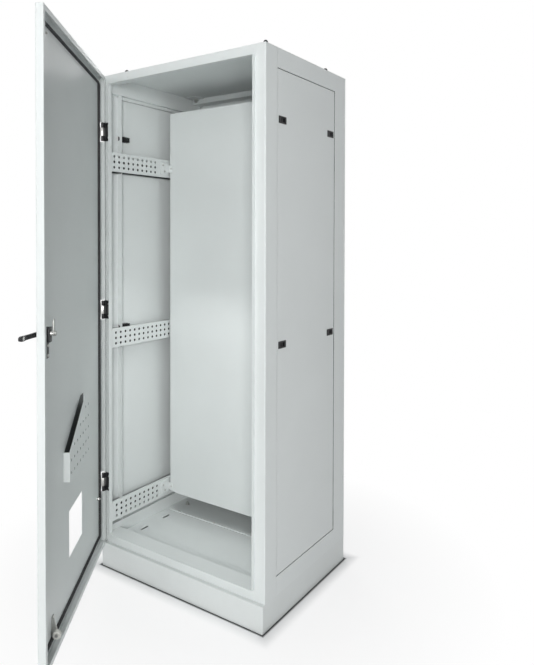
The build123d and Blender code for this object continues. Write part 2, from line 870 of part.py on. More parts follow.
# Depth rails: channels from the front to the rear flange, with end tabs and rows of round holes
def depth_rail(z, columns, first_hole):
    start_y = front_y + frame_sheet
    end_y = frame_rear_y - frame_sheet
    with BuildPart() as rail:
        with BuildSketch(upright(start_y)):
            area(rail_x, post_x, z - rail_height / 2, z + rail_height / 2)
        extrude(amount=start_y - end_y)
        fillet(rail.edges().filter_by(Axis.Y).group_by(Axis.X)[0], rail_edge_radius)
        with BuildSketch(upright(start_y)):
            area(rail_x + frame_sheet, post_x, z - rail_height / 2 + frame_sheet,
                 z + rail_height / 2 - frame_sheet)
        extrude(amount=start_y - end_y, mode=Mode.SUBTRACT)
        for tab_y, towards in ((start_y, 1), (end_y, -1)):
            with BuildSketch(upright(tab_y)):
                area(rail_x + frame_sheet, rail_x + rail_tab, z - rail_height / 2 + frame_sheet,
                     z + rail_height / 2 - frame_sheet)
            extrude(amount=-towards * frame_sheet)
        with BuildSketch(Plane.YZ.offset(rail_x)):
            with Locations((front_y + first_hole + hole_pitch_y * (columns - 1) / 2, z)):
                with GridLocations(hole_pitch_y, hole_pitch_z, columns, 3):
                    Circle(hole_radius)
            if columns < max(rail_columns):
                for back, rise in clip_screw_places:
                    with Locations((margin_y + back, z + rise)):
                        Circle(clip_screw_radius + fit_clearance)
        extrude(amount=frame_sheet, mode=Mode.SUBTRACT)
    return rail.part


with BuildPart() as depth_rails_right:
    for z, columns, first_hole in zip(rail_heights, rail_columns, rail_first_hole):
        add(depth_rail(z, columns, first_hole))
save(depth_rails_right.part, "depth_rails_right")
save(mirrored(depth_rails_right.part), "depth_rails_left")

# Mounting plate: raised field between stepped margins, folded at the top and bottom
with BuildPart() as mounting_plate:
    with BuildSketch(Plane.XY.offset(plate_bottom)):
        area(-plate_field_x, plate_field_x, plate_front_y, plate_front_y + plate_sheet)
        for side in (-1, 1):
            step_x = side * (plate_field_x - plate_sheet)
            area(side * plate_field_x, step_x, plate_front_y, margin_y + plate_sheet)
            area(step_x, side * plate_half, margin_y, margin_y + plate_sheet)
    extrude(amount=plate_top - plate_bottom)
    with BuildSketch(Plane.XY.offset(plate_bottom)):
        area(-plate_field_x, plate_field_x, plate_front_y, plate_front_y + plate_fold)
    extrude(amount=plate_sheet)
    with BuildSketch(Plane.XY.offset(plate_top)):
        area(-plate_field_x, plate_field_x, plate_front_y, plate_front_y + plate_fold)
    extrude(amount=-plate_sheet)
    with BuildSketch(upright(margin_y)):
        for x in (-plate_bolt_x, plate_bolt_x):
            for z in clip_heights:
                with Locations((x, z)):
                    Circle(plate_bolt_radius + plate_bolt_gap)
    extrude(amount=-plate_sheet, mode=Mode.SUBTRACT)
save(mounting_plate.part, "mounting_plate")

# Plate clips: foot screwed to an upper or lower depth rail, and a rounded tab in front of the plate
clip_front_y = margin_y - clip_sheet
clip_tip_x = plate_half - clip_overlap


def plate_clip(z):
    with BuildPart() as clip:
        with BuildSketch(Plane.YZ.offset(rail_x)):
            with Locations((margin_y - clip_foot_length / 2, z)):
                Rectangle(clip_foot_length, clip_foot_height)
            for back, rise in clip_screw_places:
                with Locations((margin_y + back, z + rise)):
                    Circle(clip_screw_radius + fit_clearance, mode=Mode.SUBTRACT)
        extrude(amount=-clip_sheet)
        foot_edges = clip.edges().filter_by(Axis.X).group_by(Axis.Y)[0]
        fillet(foot_edges, clip_corner)
        with BuildSketch(upright(clip_front_y)):
            area(rail_x, clip_tip_x, z - clip_height / 2, z + clip_height / 2)
        extrude(amount=-clip_sheet)
        tip_edges = clip.edges().filter_by(Axis.Y).group_by(Axis.X)[0]
        fillet(tip_edges, clip_corner)
        with BuildSketch(upright(clip_front_y)):
            with Locations((plate_bolt_x, z)):
                Circle(plate_bolt_radius + fit_clearance)
        extrude(amount=-clip_sheet, mode=Mode.SUBTRACT)
    return clip.part


with BuildPart() as plate_clips:
    for z in clip_heights:
        add(plate_clip(z))
        add(mirrored(plate_clip(z)))
save(plate_clips.part, "plate_clips")


def clip_screws(side):
    """Screws that hold the clips of one side to their rails."""
    face_x = side * (rail_x - clip_sheet)
    with BuildPart() as screws:
        for z in clip_heights:
            for back, rise in clip_screw_places:
                with BuildSketch(Plane.YZ.offset(face_x)):
                    with Locations((margin_y + back, z + rise)):
                        Circle(clip_screw_head_radius)
                extrude(amount=-side * clip_screw_head)
                with BuildSketch(Plane.YZ.offset(face_x)):
                    with Locations((margin_y + back, z + rise)):
                        Circle(clip_screw_radius)
                extrude(amount=side * (clip_sheet + frame_sheet))
    return screws.part


with BuildPart() as plate_bolts:
    add(clip_screws(1))
    add(clip_screws(-1))
    for x in (-plate_bolt_x, plate_bolt_x):
        for z in clip_heights:
            with BuildSketch(upright(clip_front_y)):
                with Locations((x, z)):
                    RegularPolygon(plate_bolt_head_radius, 6)
            extrude(amount=plate_bolt_head)
            with BuildSketch(upright(clip_front_y)):
                with Locations((x, z)):
                    Circle(plate_bolt_radius)
            extrude(amount=-(plate_sheet + clip_sheet))
save(plate_bolts.part, "plate_bolts")


# Hinges: bracket with two arms on the frame, pin, and a barrel with its leaf on the door
def hinge_bracket(z):
    with BuildPart() as bracket:
        for foot in (z - hinge_height / 2, z + hinge_height / 2 - hinge_arm_height):
            with BuildSketch(Plane.XY.offset(foot)):
                with Locations((hinge_x, hinge_y)):
                    Circle(hinge_arm_radius)
                area(hinge_x - hinge_arm_radius, hinge_x + hinge_arm_radius, hinge_y, front_y)
            extrude(amount=hinge_arm_height)
        with BuildSketch(Plane.XY.offset(z - hinge_height / 2)):
            area(hinge_x - hinge_arm_radius, hinge_plate_x, front_y - hinge_plate_thickness, front_y)
        extrude(amount=hinge_height)
        with BuildSketch(Plane.XY.offset(z - hinge_height / 2)):
            with Locations((hinge_x, hinge_y)):
                Circle(hinge_pin_radius + fit_clearance)
        extrude(amount=hinge_height, mode=Mode.SUBTRACT)
        with BuildSketch(upright(front_y)):
            with Locations((hinge_screw_x, z)):
                with GridLocations(0, 2 * hinge_screw_z, 1, 2):
                    Circle(screw_hole_radius)
        extrude(amount=hinge_plate_thickness, mode=Mode.SUBTRACT)
    return bracket.part


with BuildPart() as hinge_brackets:
    for z in hinge_heights:
        add(hinge_bracket(z))
save(hinge_brackets.part, "hinge_brackets")

with BuildPart() as hinge_pins:
    for z in hinge_heights:
        with BuildSketch(Plane.XY.offset(z + hinge_height / 2)):
            with Locations((hinge_x, hinge_y)):
                Circle(hinge_pin_radius)
        extrude(amount=-hinge_height)
        with BuildSketch(Plane.XY.offset(z + hinge_height / 2)):
            with Locations((hinge_x, hinge_y)):
                Circle(hinge_pin_head_radius)
        extrude(amount=hinge_pin_head)
save(hinge_pins.part, "hinge_pins")

with BuildPart() as hinge_bracket_screws:
    for z in hinge_heights:
        with BuildSketch(upright(front_y - hinge_plate_thickness)):
            with Locations((hinge_screw_x, z)):
                with GridLocations(0, 2 * hinge_screw_z, 1, 2):
                    Circle(screw_head_radius)
        extrude(amount=screw_head)
        with BuildSketch(upright(front_y - hinge_plate_thickness)):
            with Locations((hinge_screw_x, z)):
                with GridLocations(0, 2 * hinge_screw_z, 1, 2):
                    Circle(screw_radius)
        extrude(amount=-(hinge_plate_thickness + frame_sheet + 2 * screw_head))
save(hinge_bracket_screws.part, "hinge_bracket_screws")

barrel_height = hinge_height - 2 * hinge_arm_height - 2 * hinge_gap
hinge_u = hinge_side_inset - door_side_inset
hinge_n = hinge_y - door_face_y
leaf_n = panel_sheet + hinge_leaf_sheet
leaf_screw_u = hinge_u + hinge_leaf_width / 2 + screw_head_radius


def hinge_leaf(z):
    with BuildPart() as leaf:
        with BuildSketch(door_plan(z - barrel_height / 2)):
            with Locations((hinge_u, hinge_n)):
                Circle(hinge_barrel_radius)
            area(hinge_u - hinge_barrel_radius / 2, hinge_u + hinge_barrel_radius, hinge_n, panel_sheet)
        extrude(amount=barrel_height)
        with BuildSketch(door_plan(z - hinge_leaf_height / 2)):
            area(hinge_u, hinge_u + hinge_leaf_width, panel_sheet, leaf_n)
        extrude(amount=hinge_leaf_height)
        with BuildSketch(door_plan(z - barrel_height / 2)):
            with Locations((hinge_u, hinge_n)):
                Circle(hinge_pin_radius + fit_clearance)
        extrude(amount=barrel_height, mode=Mode.SUBTRACT)
        with BuildSketch(door_front(panel_sheet)):
            with Locations((leaf_screw_u, z)):
                with GridLocations(0, 2 * hinge_leaf_screw_z, 1, 2):
                    Circle(screw_hole_radius)
        extrude(amount=-hinge_leaf_sheet, mode=Mode.SUBTRACT)
    return leaf.part


with BuildPart() as hinge_leaves:
    for z in hinge_heights:
        add(hinge_leaf(z))
save(hinge_leaves.part, "hinge_leaves")

# Door panel: folded tray with a rim, notched at the hinges, cut out low down and bored for the lock
with BuildPart() as door_panel:
    with BuildSketch(door_front(0)):
        area(0, door_width, door_bottom, door_top)
    extrude(amount=-door_fold)
    outer_edges = door_panel.faces().sort_by(Axis(door_point(0, 0, 0), door_inward))[0].edges()
    fillet(outer_edges, door_edge_radius)
    with BuildSketch(door_front(panel_sheet)):
        area(panel_sheet, door_width - panel_sheet, door_bottom + panel_sheet, door_top - panel_sheet)
    extrude(amount=2 * panel_sheet - door_fold, mode=Mode.SUBTRACT)
    with BuildSketch(door_front(door_fold)):
        area(door_rim, door_width - door_rim, door_bottom + door_rim, door_top - door_rim)
    extrude(amount=panel_sheet, mode=Mode.SUBTRACT)
    for z in hinge_heights:
        with BuildSketch(door_front(panel_sheet)):
            half_notch = hinge_height / 2 + notch_margin
            area(-notch_overrun, notch_reach, z - half_notch, z + half_notch)
        extrude(amount=-door_fold, mode=Mode.SUBTRACT)
    with BuildSketch(door_front(0)):
        with Locations(((cut_out_from + cut_out_to) / 2, (cut_out_bottom + cut_out_top) / 2)):
            RectangleRounded(cut_out_to - cut_out_from, cut_out_top - cut_out_bottom, cut_out_corner)
        with Locations((lock_u, lock_z)):
            Circle(spindle_disc_radius + spindle_clear)
    extrude(amount=-panel_sheet, mode=Mode.SUBTRACT)
save(door_panel.part, "door_panel")

# Door gasket: ring facing the middle of the seal channel
with BuildPart() as door_gasket:
    seal_u = (u_of(-lip_x - frame_sheet / 2), u_of(lip_x + frame_sheet / 2))
    seal_z = (opening_bottom - frame_sheet / 2, opening_top + frame_sheet / 2)
    gasket_centre = ((seal_u[0] + seal_u[1]) / 2, (seal_z[0] + seal_z[1]) / 2)
    gasket_u = seal_u[1] - seal_u[0]
    gasket_z = seal_z[1] - seal_z[0]
    gasket_height = front_y - lip_reach - gasket_gap - door_face_y - panel_sheet
    with BuildSketch(door_front(panel_sheet)):
        with Locations(gasket_centre):
            RectangleRounded(gasket_u + gasket_width, gasket_z + gasket_width, gasket_corner)
            RectangleRounded(gasket_u - gasket_width, gasket_z - gasket_width,
                             gasket_corner - gasket_width, mode=Mode.SUBTRACT)
    extrude(amount=-gasket_height)
save(door_gasket.part, "door_gasket")

# Document pocket: perforated front sheet on an edge strip that stands on the door
pocket_outline = (
    (pocket_from, pocket_bottom),
    (pocket_to, pocket_bottom),
    (pocket_to, pocket_low_top),
    (pocket_peak, pocket_high_top),
    (pocket_from, pocket_shoulder),
)
pocket_n = panel_sheet + pocket_stand_off

with BuildPart() as pocket_front:
    with BuildSketch(door_front(pocket_n)):
        with BuildLine():
            Polyline(*pocket_outline, close=True)
        make_face()
        for row, count in enumerate(pocket_row_holes):
            for column in range(count):
                with Locations((pocket_from + pocket_first_hole + pocket_hole_pitch * column,
                                pocket_bottom + pocket_first_row + pocket_row_pitch * row)):
                    Circle(pocket_hole_radius, mode=Mode.SUBTRACT)
    extrude(amount=-panel_sheet)
save(pocket_front.part, "pocket_front")

with BuildPart() as pocket_edge:
    with BuildSketch(door_front(panel_sheet)):
        area(pocket_from, pocket_to, pocket_bottom, pocket_bottom + panel_sheet)
        area(pocket_from, pocket_from + panel_sheet, pocket_bottom, pocket_shoulder)
        area(pocket_to - panel_sheet, pocket_to, pocket_bottom, pocket_low_top)
    extrude(amount=-pocket_stand_off)
save(pocket_edge.part, "pocket_edge")

# Earth studs welded inside the door, each with its nut
with BuildPart() as earth_studs:
    high_stud = (door_width - earth_stud_edge, door_top - earth_stud_top_drop)
    for u, z in ((earth_stud_edge, earth_stud_low), high_stud):
        with BuildSketch(door_front(panel_sheet)):
            with Locations((u, z)):
                Circle(earth_stud_radius)
        extrude(amount=-earth_stud_length)
        with BuildSketch(door_front(panel_sheet)):
            with Locations((u, z)):
                RegularPolygon(earth_nut_radius, 6, major_radius=False)
        extrude(amount=-earth_nut_height)
save(earth_studs.part, "earth_studs")

# Handle dish: oval plate with a raised rim on the outside of the door
dish_z = dish_top - dish_length / 2

with BuildPart() as lock_dish:
    with BuildSketch(door_front(0)):
        with Locations((lock_u, dish_z)):
            SlotOverall(dish_length, dish_width, rotation=90)
    extrude(amount=dish_thickness)
    with BuildSketch(door_front(-dish_thickness)):
        with Locations((lock_u, dish_z)):
            SlotOverall(dish_length - 2 * dish_rim, dish_width - 2 * dish_rim, rotation=90)
    extrude(amount=-dish_recess, mode=Mode.SUBTRACT)
    with BuildSketch(door_front(0)):
        with Locations((lock_u, lock_z)):
            Circle(spindle_radius + spindle_clear)
    extrude(amount=dish_thickness, mode=Mode.SUBTRACT)
save(lock_dish.part, "lock_dish")

# Lock body: moulded block inside the door, deeper round the spindle
lock_screw_z = (lock_body_bottom + 2 * screw_head_radius, lock_gear_bottom - 2 * screw_head_radius)

with BuildPart() as lock_body:
    with BuildSketch(door_front(panel_sheet)):
        with Locations((lock_u, (lock_body_bottom + lock_body_top) / 2)):
            RectangleRounded(lock_body_width, lock_body_top - lock_body_bottom, lock_body_corner)
    extrude(amount=-lock_base_depth)
    with BuildSketch(door_front(panel_sheet)):
        with Locations((lock_u, (lock_gear_bottom + lock_body_top) / 2)):
            RectangleRounded(lock_body_width, lock_body_top - lock_gear_bottom, lock_body_corner)
    extrude(amount=-lock_body_depth)
    with BuildSketch(door_front(panel_sheet)):
        with Locations((lock_u, lock_z)):
            Circle(spindle_radius + fit_clearance)
        for z in lock_screw_z:
            with Locations((lock_u, z)):
                Circle(screw_hole_radius)
    extrude(amount=-lock_body_depth, mode=Mode.SUBTRACT)
save(lock_body.part, "lock_body")

# Spindle: shaft through the lock body, outer disc with two ears for the lever, inner stud for the cam
cam_n = door_fold + door_gap + frame_sheet + cam_clearance
disc_n = dish_recess - dish_thickness - ear_gap
disc_top = lever_below - lever_pin_height + disc_step
ear_inner = lever_eye_width / 2 + ear_gap
ear_outer = lever_width / 2

with BuildPart() as lock_spindle:
    with BuildSketch(door_front(disc_n)):
        with Locations((lock_u, lock_z)):
            Circle(spindle_radius)
    extrude(amount=disc_n - cam_n)
    with BuildSketch(door_front(cam_n)):
        with Locations((lock_u, lock_z)):
            Circle(cam_stud_radius)
    extrude(amount=-(cam_thickness + cam_nut_height))
    with BuildSketch(door_front(disc_n)):
        with Locations((lock_u, lock_z)):
            Circle(spindle_disc_radius)
    extrude(amount=disc_n - disc_top)
    for low, high in ((-ear_outer, -ear_inner), (ear_inner, ear_outer)):
        with BuildSketch(door_plan(lock_z + low)):
            with Locations((lock_u, -lever_pin_height)):
                Circle(ear_radius)
            area(lock_u - ear_radius, lock_u + ear_radius, -lever_pin_height, disc_top)
            with Locations((lock_u, -lever_pin_height)):
                Circle(lever_pin_radius + fit_clearance, mode=Mode.SUBTRACT)
        extrude(amount=high - low)
save(lock_spindle.part, "lock_spindle")

with BuildPart() as lock_cam:
    with BuildSketch(door_front(cam_n)):
        with Locations((lock_u, lock_z + cam_length / 2)):
            RectangleRounded(cam_width, cam_length + cam_width, cam_corner)
        with Locations((lock_u, lock_z)):
            Circle(cam_stud_radius + fit_clearance, mode=Mode.SUBTRACT)
    extrude(amount=-cam_thickness)
save(lock_cam.part, "lock_cam")

with BuildPart() as cam_nut:
    with BuildSketch(door_front(cam_n + cam_thickness)):
        with Locations((lock_u, lock_z)):
            RegularPolygon(cam_nut_radius, 6)
            Circle(cam_stud_radius + fit_clearance, mode=Mode.SUBTRACT)
    extrude(amount=-cam_nut_height)
save(cam_nut.part, "cam_nut")

# Swing lever: turned to the free edge and lifted off the dish
lift = radians(lever_lift)
lever_along = door_along * cos(lift) - door_inward * sin(lift)
lever_out = -door_along * sin(lift) - door_inward * cos(lift)
lever_pivot = door_point(lock_u, -lever_pin_height, lock_z)
lever_side = Plane(origin=lever_pivot, x_dir=lever_along, z_dir=(0, 0, -1))


def lever_face(rise):
    """Plane parallel to the lever's top, local axes along the lever and height."""
    return Plane(origin=lever_pivot + lever_out * rise, x_dir=lever_along, z_dir=lever_out)


with BuildPart() as lock_lever:
    with BuildSketch(lever_side):
        with BuildLine():
            bottom = Line((lever_start, -lever_below), (lever_length - lever_below, -lever_below))
            tip = TangentArc(bottom @ 1, (lever_length, 0), tangent=bottom % 1)
            top = Line(tip @ 1, (lever_length - lever_below, lever_tip_above))
            crown_end = (lever_start, lever_above - lever_crown_drop)
            crown = ThreePointArc(top @ 1, (lever_length / 2, lever_above), crown_end)
            Line(crown @ 1, bottom @ 0)
        make_face()
    extrude(amount=lever_width / 2, both=True)
    with BuildSketch(lever_side):
        Circle(lever_eye_radius)
        area(0, lever_neck, lever_neck_step - lever_below, lever_eye_radius - lever_neck_step)
    extrude(amount=lever_eye_width / 2, both=True)
    with BuildSketch(lever_side):
        Circle(lever_pin_radius + fit_clearance)
    extrude(amount=lever_width / 2, both=True, mode=Mode.SUBTRACT)
    with BuildSketch(lever_face(-2 * lever_below)):
        with Locations((key_distance, 0)):
            Circle(key_radius + fit_clearance)
    extrude(amount=4 * lever_below, mode=Mode.SUBTRACT)
save(lock_lever.part, "lock_lever")

with BuildPart() as lever_pin:
    with BuildSketch(lever_side):
        Circle(lever_pin_radius)
    extrude(amount=ear_outer, both=True)
save(lever_pin.part, "lever_pin")

with BuildPart() as key_plug:
    with BuildSketch(lever_face(-lever_below)):
        with Locations((key_distance, 0)):
            Circle(key_radius)
    extrude(amount=lever_below + lever_tip_above + key_stand_out)
    with BuildSketch(lever_face(lever_tip_above + key_stand_out)):
        with Locations((key_distance, 0)):
            Rectangle(key_slot_width, key_slot_length)
    extrude(amount=-key_slot_depth, mode=Mode.SUBTRACT)
save(key_plug.part, "key_plug")

# Guide bracket, pin and roller that lift the door foot on to the lower lip of the opening
roller_z = opening_bottom + roller_radius + gasket_gap
cheek_u = roller_u - roller_width / 2 - roller_gap - guide_sheet
guide_low = roller_z - guide_nose
guide_high = roller_z + guide_top
guide_screw_u = cheek_u - guide_foot_width / 2
guide_screw_z = (roller_z + guide_nose + guide_high) / 2

with BuildPart() as guide_bracket:
    with BuildSketch(door_side(cheek_u)):
        with BuildLine():
            Polyline(
                (panel_sheet, guide_low),
                (roller_n, guide_low),
                (roller_n + guide_nose, roller_z),
                (roller_n, roller_z + guide_nose),
                (panel_sheet + guide_nose, guide_high),
                (panel_sheet, guide_high),
                close=True,
            )
        make_face()
        with Locations((roller_n, roller_z)):
            Circle(guide_pin_radius + fit_clearance, mode=Mode.SUBTRACT)
    extrude(amount=guide_sheet)
    with BuildSketch(door_front(panel_sheet)):
        area(cheek_u + guide_sheet, cheek_u - guide_foot_width, roller_z + guide_nose, guide_high)
        with Locations((guide_screw_u, guide_screw_z)):
            Circle(screw_hole_radius, mode=Mode.SUBTRACT)
    extrude(amount=-guide_sheet)
save(guide_bracket.part, "guide_bracket")

with BuildPart() as guide_pin:
    pin_end = cheek_u + guide_sheet + roller_width + 2 * roller_gap
    with BuildSketch(door_side(cheek_u)):
        with Locations((roller_n, roller_z)):
            Circle(guide_pin_radius)
    extrude(amount=pin_end - cheek_u)
    with BuildSketch(door_side(pin_end)):
        with Locations((roller_n, roller_z)):
            Circle(guide_pin_head_radius)
    extrude(amount=guide_pin_head)
save(guide_pin.part, "guide_pin")

with BuildPart() as guide_roller:
    with BuildSketch(door_side(roller_u - roller_width / 2)):
        with Locations((roller_n, roller_z)):
            Circle(roller_radius)
            Circle(guide_pin_radius + fit_clearance, mode=Mode.SUBTRACT)
    extrude(amount=roller_width)
    rims = guide_roller.edges().filter_by(GeomType.CIRCLE).group_by(SortBy.RADIUS)[-1]
    fillet(rims, roller_edge)
save(guide_roller.part, "guide_roller")

# Door screws: hinge leaves, lock body and guide bracket
door_screw_places = [
    (leaf_screw_u, hinge_height_z + side * hinge_leaf_screw_z, leaf_n)
    for hinge_height_z in hinge_heights
    for side in (-1, 1)
]
door_screw_places += [(lock_u, z, panel_sheet + lock_base_depth) for z in lock_screw_z]
door_screw_places += [(guide_screw_u, guide_screw_z, panel_sheet + guide_sheet)]

with BuildPart() as door_screws:
    for u, z, seat in door_screw_places:
        with BuildSketch(door_front(seat)):
            with Locations((u, z)):
                Circle(screw_head_radius)
        extrude(amount=-screw_head)
        with BuildSketch(door_front(seat)):
            with Locations((u, z)):
                Circle(screw_radius)
        extrude(amount=seat - panel_sheet)
save(door_screws.part, "door_screws")
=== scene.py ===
import bpy
import bmesh
import json
from math import cos, pi, radians, sin, tau
from mathutils import Matrix, Vector


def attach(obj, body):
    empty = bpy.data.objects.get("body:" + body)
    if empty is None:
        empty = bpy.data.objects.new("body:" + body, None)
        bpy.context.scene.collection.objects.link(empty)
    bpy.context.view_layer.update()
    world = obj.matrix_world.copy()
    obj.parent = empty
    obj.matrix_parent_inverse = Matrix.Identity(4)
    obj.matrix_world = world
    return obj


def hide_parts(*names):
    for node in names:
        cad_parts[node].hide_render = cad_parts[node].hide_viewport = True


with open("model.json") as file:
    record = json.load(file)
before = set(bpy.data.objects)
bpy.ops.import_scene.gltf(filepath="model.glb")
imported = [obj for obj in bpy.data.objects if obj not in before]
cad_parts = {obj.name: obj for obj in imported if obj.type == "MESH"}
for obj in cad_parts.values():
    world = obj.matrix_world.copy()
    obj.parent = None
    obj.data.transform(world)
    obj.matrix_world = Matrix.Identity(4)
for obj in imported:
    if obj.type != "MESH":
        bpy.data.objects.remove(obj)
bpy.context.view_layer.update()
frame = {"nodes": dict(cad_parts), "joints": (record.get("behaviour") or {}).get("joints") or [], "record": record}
nodes = frame["nodes"]
joints = {j["name"]: j for j in frame["joints"]}
mm = 0.001

# Camera fitted to the photograph: place, turn and lens in real units
camera_place = (1.5597, -1.9856, 1.3431)
camera_yaw = 34.16
camera_pitch = -0.95
camera_roll = 0.11
focal_pixels = 612.0
image_width = 534.0
image_height = 665.0
principal_row = 248.0

# Axes of the open door: u from the hinge edge, n inwards from the outer face, z height
up = Vector((0, 0, 1))
open_turn = radians(joints["door_hinge"]["range_deg"][1])
door_along = Vector((cos(open_turn), -sin(open_turn), 0))
door_inward = Vector((sin(open_turn), cos(open_turn), 0))
lock_from_hinge_edge = 735 * mm
lock_place = Vector(joints["handle_swing"]["pos_m"])
door_corner = Vector((lock_place.x, lock_place.y, 0)) - door_along * lock_from_hinge_edge

# Painted shade on the sheet behind the rails and the pocket: where it lies, and how far it is seen through the
# holes
paint = (0.765, 0.800, 0.793)
unlit = (0.022, 0.024, 0.025)
rail_behind = 0.3725
rail_between = (-0.2835, 0.2855)
rail_fade_up = (0.020, 0.034)
rail_fade_down = (-0.046, -0.040)
post_reach = 0.3992
panel_reach = 0.3978
pocket_u = (0.284, 0.535)
pocket_n = (0.0008, 0.0030)
pocket_z = (0.558, 0.780)
pocket_slope = 0.652
pocket_slope_top = 0.993


def door_place(u, n, z):
    """Point of the open door."""
    return door_corner + door_along * u + door_inward * n + Vector((0, 0, z))


def door_extent(name):
    """Lowest and highest (u, n, z) of a CAD node in the door's frame of reference."""
    points = []
    for vertex in nodes[name].data.vertices:
        away = vertex.co - door_corner
        points.append((away.dot(door_along), away.dot(door_inward), vertex.co.z))
    return [[end(axis) for axis in zip(*points)] for end in (min, max)]


def solids_of(name):
    """Points of each separate solid of a CAD node."""
    mesh = nodes[name].data
    group = {}

    def root(key):
        while group[key] != key:
            group[key] = group[group[key]]
            key = group[key]
        return key

    keys = [tuple(round(c, 5) for c in v.co) for v in mesh.vertices]
    for key in keys:
        group[key] = key
    for edge in mesh.edges:
        first, second = (root(keys[i]) for i in edge.vertices)
        group[first] = second
    solids = {}
    for key in group:
        solids.setdefault(root(key), []).append(Vector(key))
    return list(solids.values())


def spans(points, axis):
    """Lowest and highest reach of some points along an axis."""
    reach = [p.dot(axis) for p in points]
    return min(reach), max(reach)


def upright_solids(name):
    """Middle of the foot and height of each upright solid of a CAD node."""
    for points in solids_of(name):
        low, high = (Vector([end(p[k] for p in points) for k in range(3)]) for end in (min, max))
        middle = (low + high) / 2
        yield middle - up * (high.z - low.z) / 2, high.z - low.z


# Node helpers for materials
class Shader:
    """Small helper that adds and links shader nodes by name."""

    def __init__(self, name):
        self.material = bpy.data.materials.new(name)
        self.material.use_nodes = True
        self.tree = self.material.node_tree
        self.bsdf = self.tree.nodes["Principled BSDF"]

    def add(self, kind, **values):
        node = self.tree.nodes.new(kind)
        for key, value in values.items():
            if key in node.inputs:
                node.inputs[key].default_value = value
            else:
                setattr(node, key, value)
        return node

    def link(self, source, target):
        self.tree.links.new(source, target)

    def place(self):
        return self.add("ShaderNodeTexCoord").outputs["Object"]

    def axes(self):
        """Sockets for X, Y and Z of the place on the object."""
        split = self.add("ShaderNodeSeparateXYZ")
        self.link(self.place(), split.inputs["Vector"])
        return split.outputs

    def noise(self, scale, detail=4.0, roughness=0.55):
        noise = self.add("ShaderNodeTexNoise", Scale=scale, Detail=detail, Roughness=roughness)
        self.link(self.place(), noise.inputs["Vector"])
        return noise.outputs["Fac"]

    def ramp(self, factor, stops):
        ramp = self.add("ShaderNodeValToRGB")
        elements = ramp.color_ramp.elements
        elements[0].position, elements[0].color = stops[0][0], (*stops[0][1], 1)
        elements[1].position, elements[1].color = stops[-1][0], (*stops[-1][1], 1)
        for position, colour in stops[1:-1]:
            elements.new(position).color = (*colour, 1)
        self.link(factor, ramp.inputs["Fac"])
        return ramp.outputs["Color"]

    def spread(self, factor, low, high, start=0.3, end=0.7):
        spread = self.add("ShaderNodeMapRange")
        spread.inputs["From Min"].default_value = start
        spread.inputs["From Max"].default_value = end
        spread.inputs["To Min"].default_value = low
        spread.inputs["To Max"].default_value = high
        self.link(factor, spread.inputs["Value"])
        return spread.outputs["Result"]

    def mix(self, factor, first, second):
        mix = self.add("ShaderNodeMix", data_type="RGBA")
        colours = [socket for socket in mix.inputs if socket.type == "RGBA"]
        for socket, value in zip(colours, (first, second)):
            if isinstance(value, tuple):
                socket.default_value = (*value, 1)
            else:
                self.link(value, socket)
        factors = [socket for socket in mix.inputs if socket.type == "VALUE"]
        self.link(factor, factors[0])
        return [socket for socket in mix.outputs if socket.type == "RGBA"][0]

    def bump(self, factor, strength, distance, edge=0.0):
        bump = self.add("ShaderNodeBump", Strength=strength, Distance=distance)
        self.link(factor, bump.inputs["Height"])
        if edge:
            self.link(self.rounded_normal(edge), bump.inputs["Normal"])
        self.link(bump.outputs["Normal"], self.bsdf.inputs["Normal"])

    def rounded_normal(self, size):
        bevel = self.add("ShaderNodeBevel", samples=4, Radius=size)
        return bevel.outputs["Normal"]

    def edge_wear_and_highlight(self, size, low, high):
        """1 near edges, from the difference between the true and the rounded normal: worn edges on castings, a
        painted edge highlight on powder coat.
        """
        geometry = self.add("ShaderNodeNewGeometry")
        dot = self.add("ShaderNodeVectorMath", operation="DOT_PRODUCT")
        self.link(self.rounded_normal(size), dot.inputs[0])
        self.link(geometry.outputs["Normal"], dot.inputs[1])
        return self.spread(dot.outputs["Value"], 1.0, 0.0, low, high)

    def combined(self, operation, first, second):
        """One value from two, each a socket or a number."""
        node = self.add("ShaderNodeMath", operation=operation)
        for socket, value in zip(node.inputs, (first, second)):
            if isinstance(value, float):
                socket.default_value = value
            else:
                self.link(value, socket)
        return node.outputs["Value"]

    def size_of(self, value):
        node = self.add("ShaderNodeMath", operation="ABSOLUTE")
        self.link(value, node.inputs[0])
        return node.outputs["Value"]

    def footprint_distance(self, half_x, half_y):
        """Distance of a floor point from the edge of a rectangle round the origin, negative inside it."""
        axes = self.axes()
        beyond_x = self.combined("SUBTRACT", self.size_of(axes["X"]), half_x)
        beyond_y = self.combined("SUBTRACT", self.size_of(axes["Y"]), half_y)
        return self.combined("MAXIMUM", beyond_x, beyond_y)

    def chosen(self, value, low, high):
        """1 between two limits."""
        above = self.combined("GREATER_THAN", value, low)
        below = self.combined("LESS_THAN", value, high)
        return self.combined("MULTIPLY", above, below)

    def shade_behind_rails(self, limit):
        """1 on sheet that a perforated rail covers, between the rail and a distance from the middle plane: where
        painted shade goes, seen through the rail holes.
        """
        axes = self.axes()
        band = 0.0
        for points in solids_of("depth_rails_left"):
            low, high = spans(points, up)
            away = self.combined("SUBTRACT", axes["Z"], (low + high) / 2)
            above = self.spread(away, 1.0, 0.0, *rail_fade_up)
            below = self.spread(away, 0.0, 1.0, *rail_fade_down)
            band = self.combined("MAXIMUM", band, self.combined("MULTIPLY", above, below))
        covered = self.combined("MULTIPLY", band, self.chosen(self.size_of(axes["X"]), rail_behind, limit))
        return self.combined("MULTIPLY", covered, self.chosen(axes["Y"], *rail_between))

    def along_door(self, axis):
        """Distance from the door's outer hinge edge along one of the door's axes."""
        reach = self.add("ShaderNodeVectorMath", operation="DOT_PRODUCT")
        self.link(self.place(), reach.inputs[0])
        reach.inputs[1].default_value = axis
        return self.combined("SUBTRACT", reach.outputs["Value"], door_corner.dot(axis))

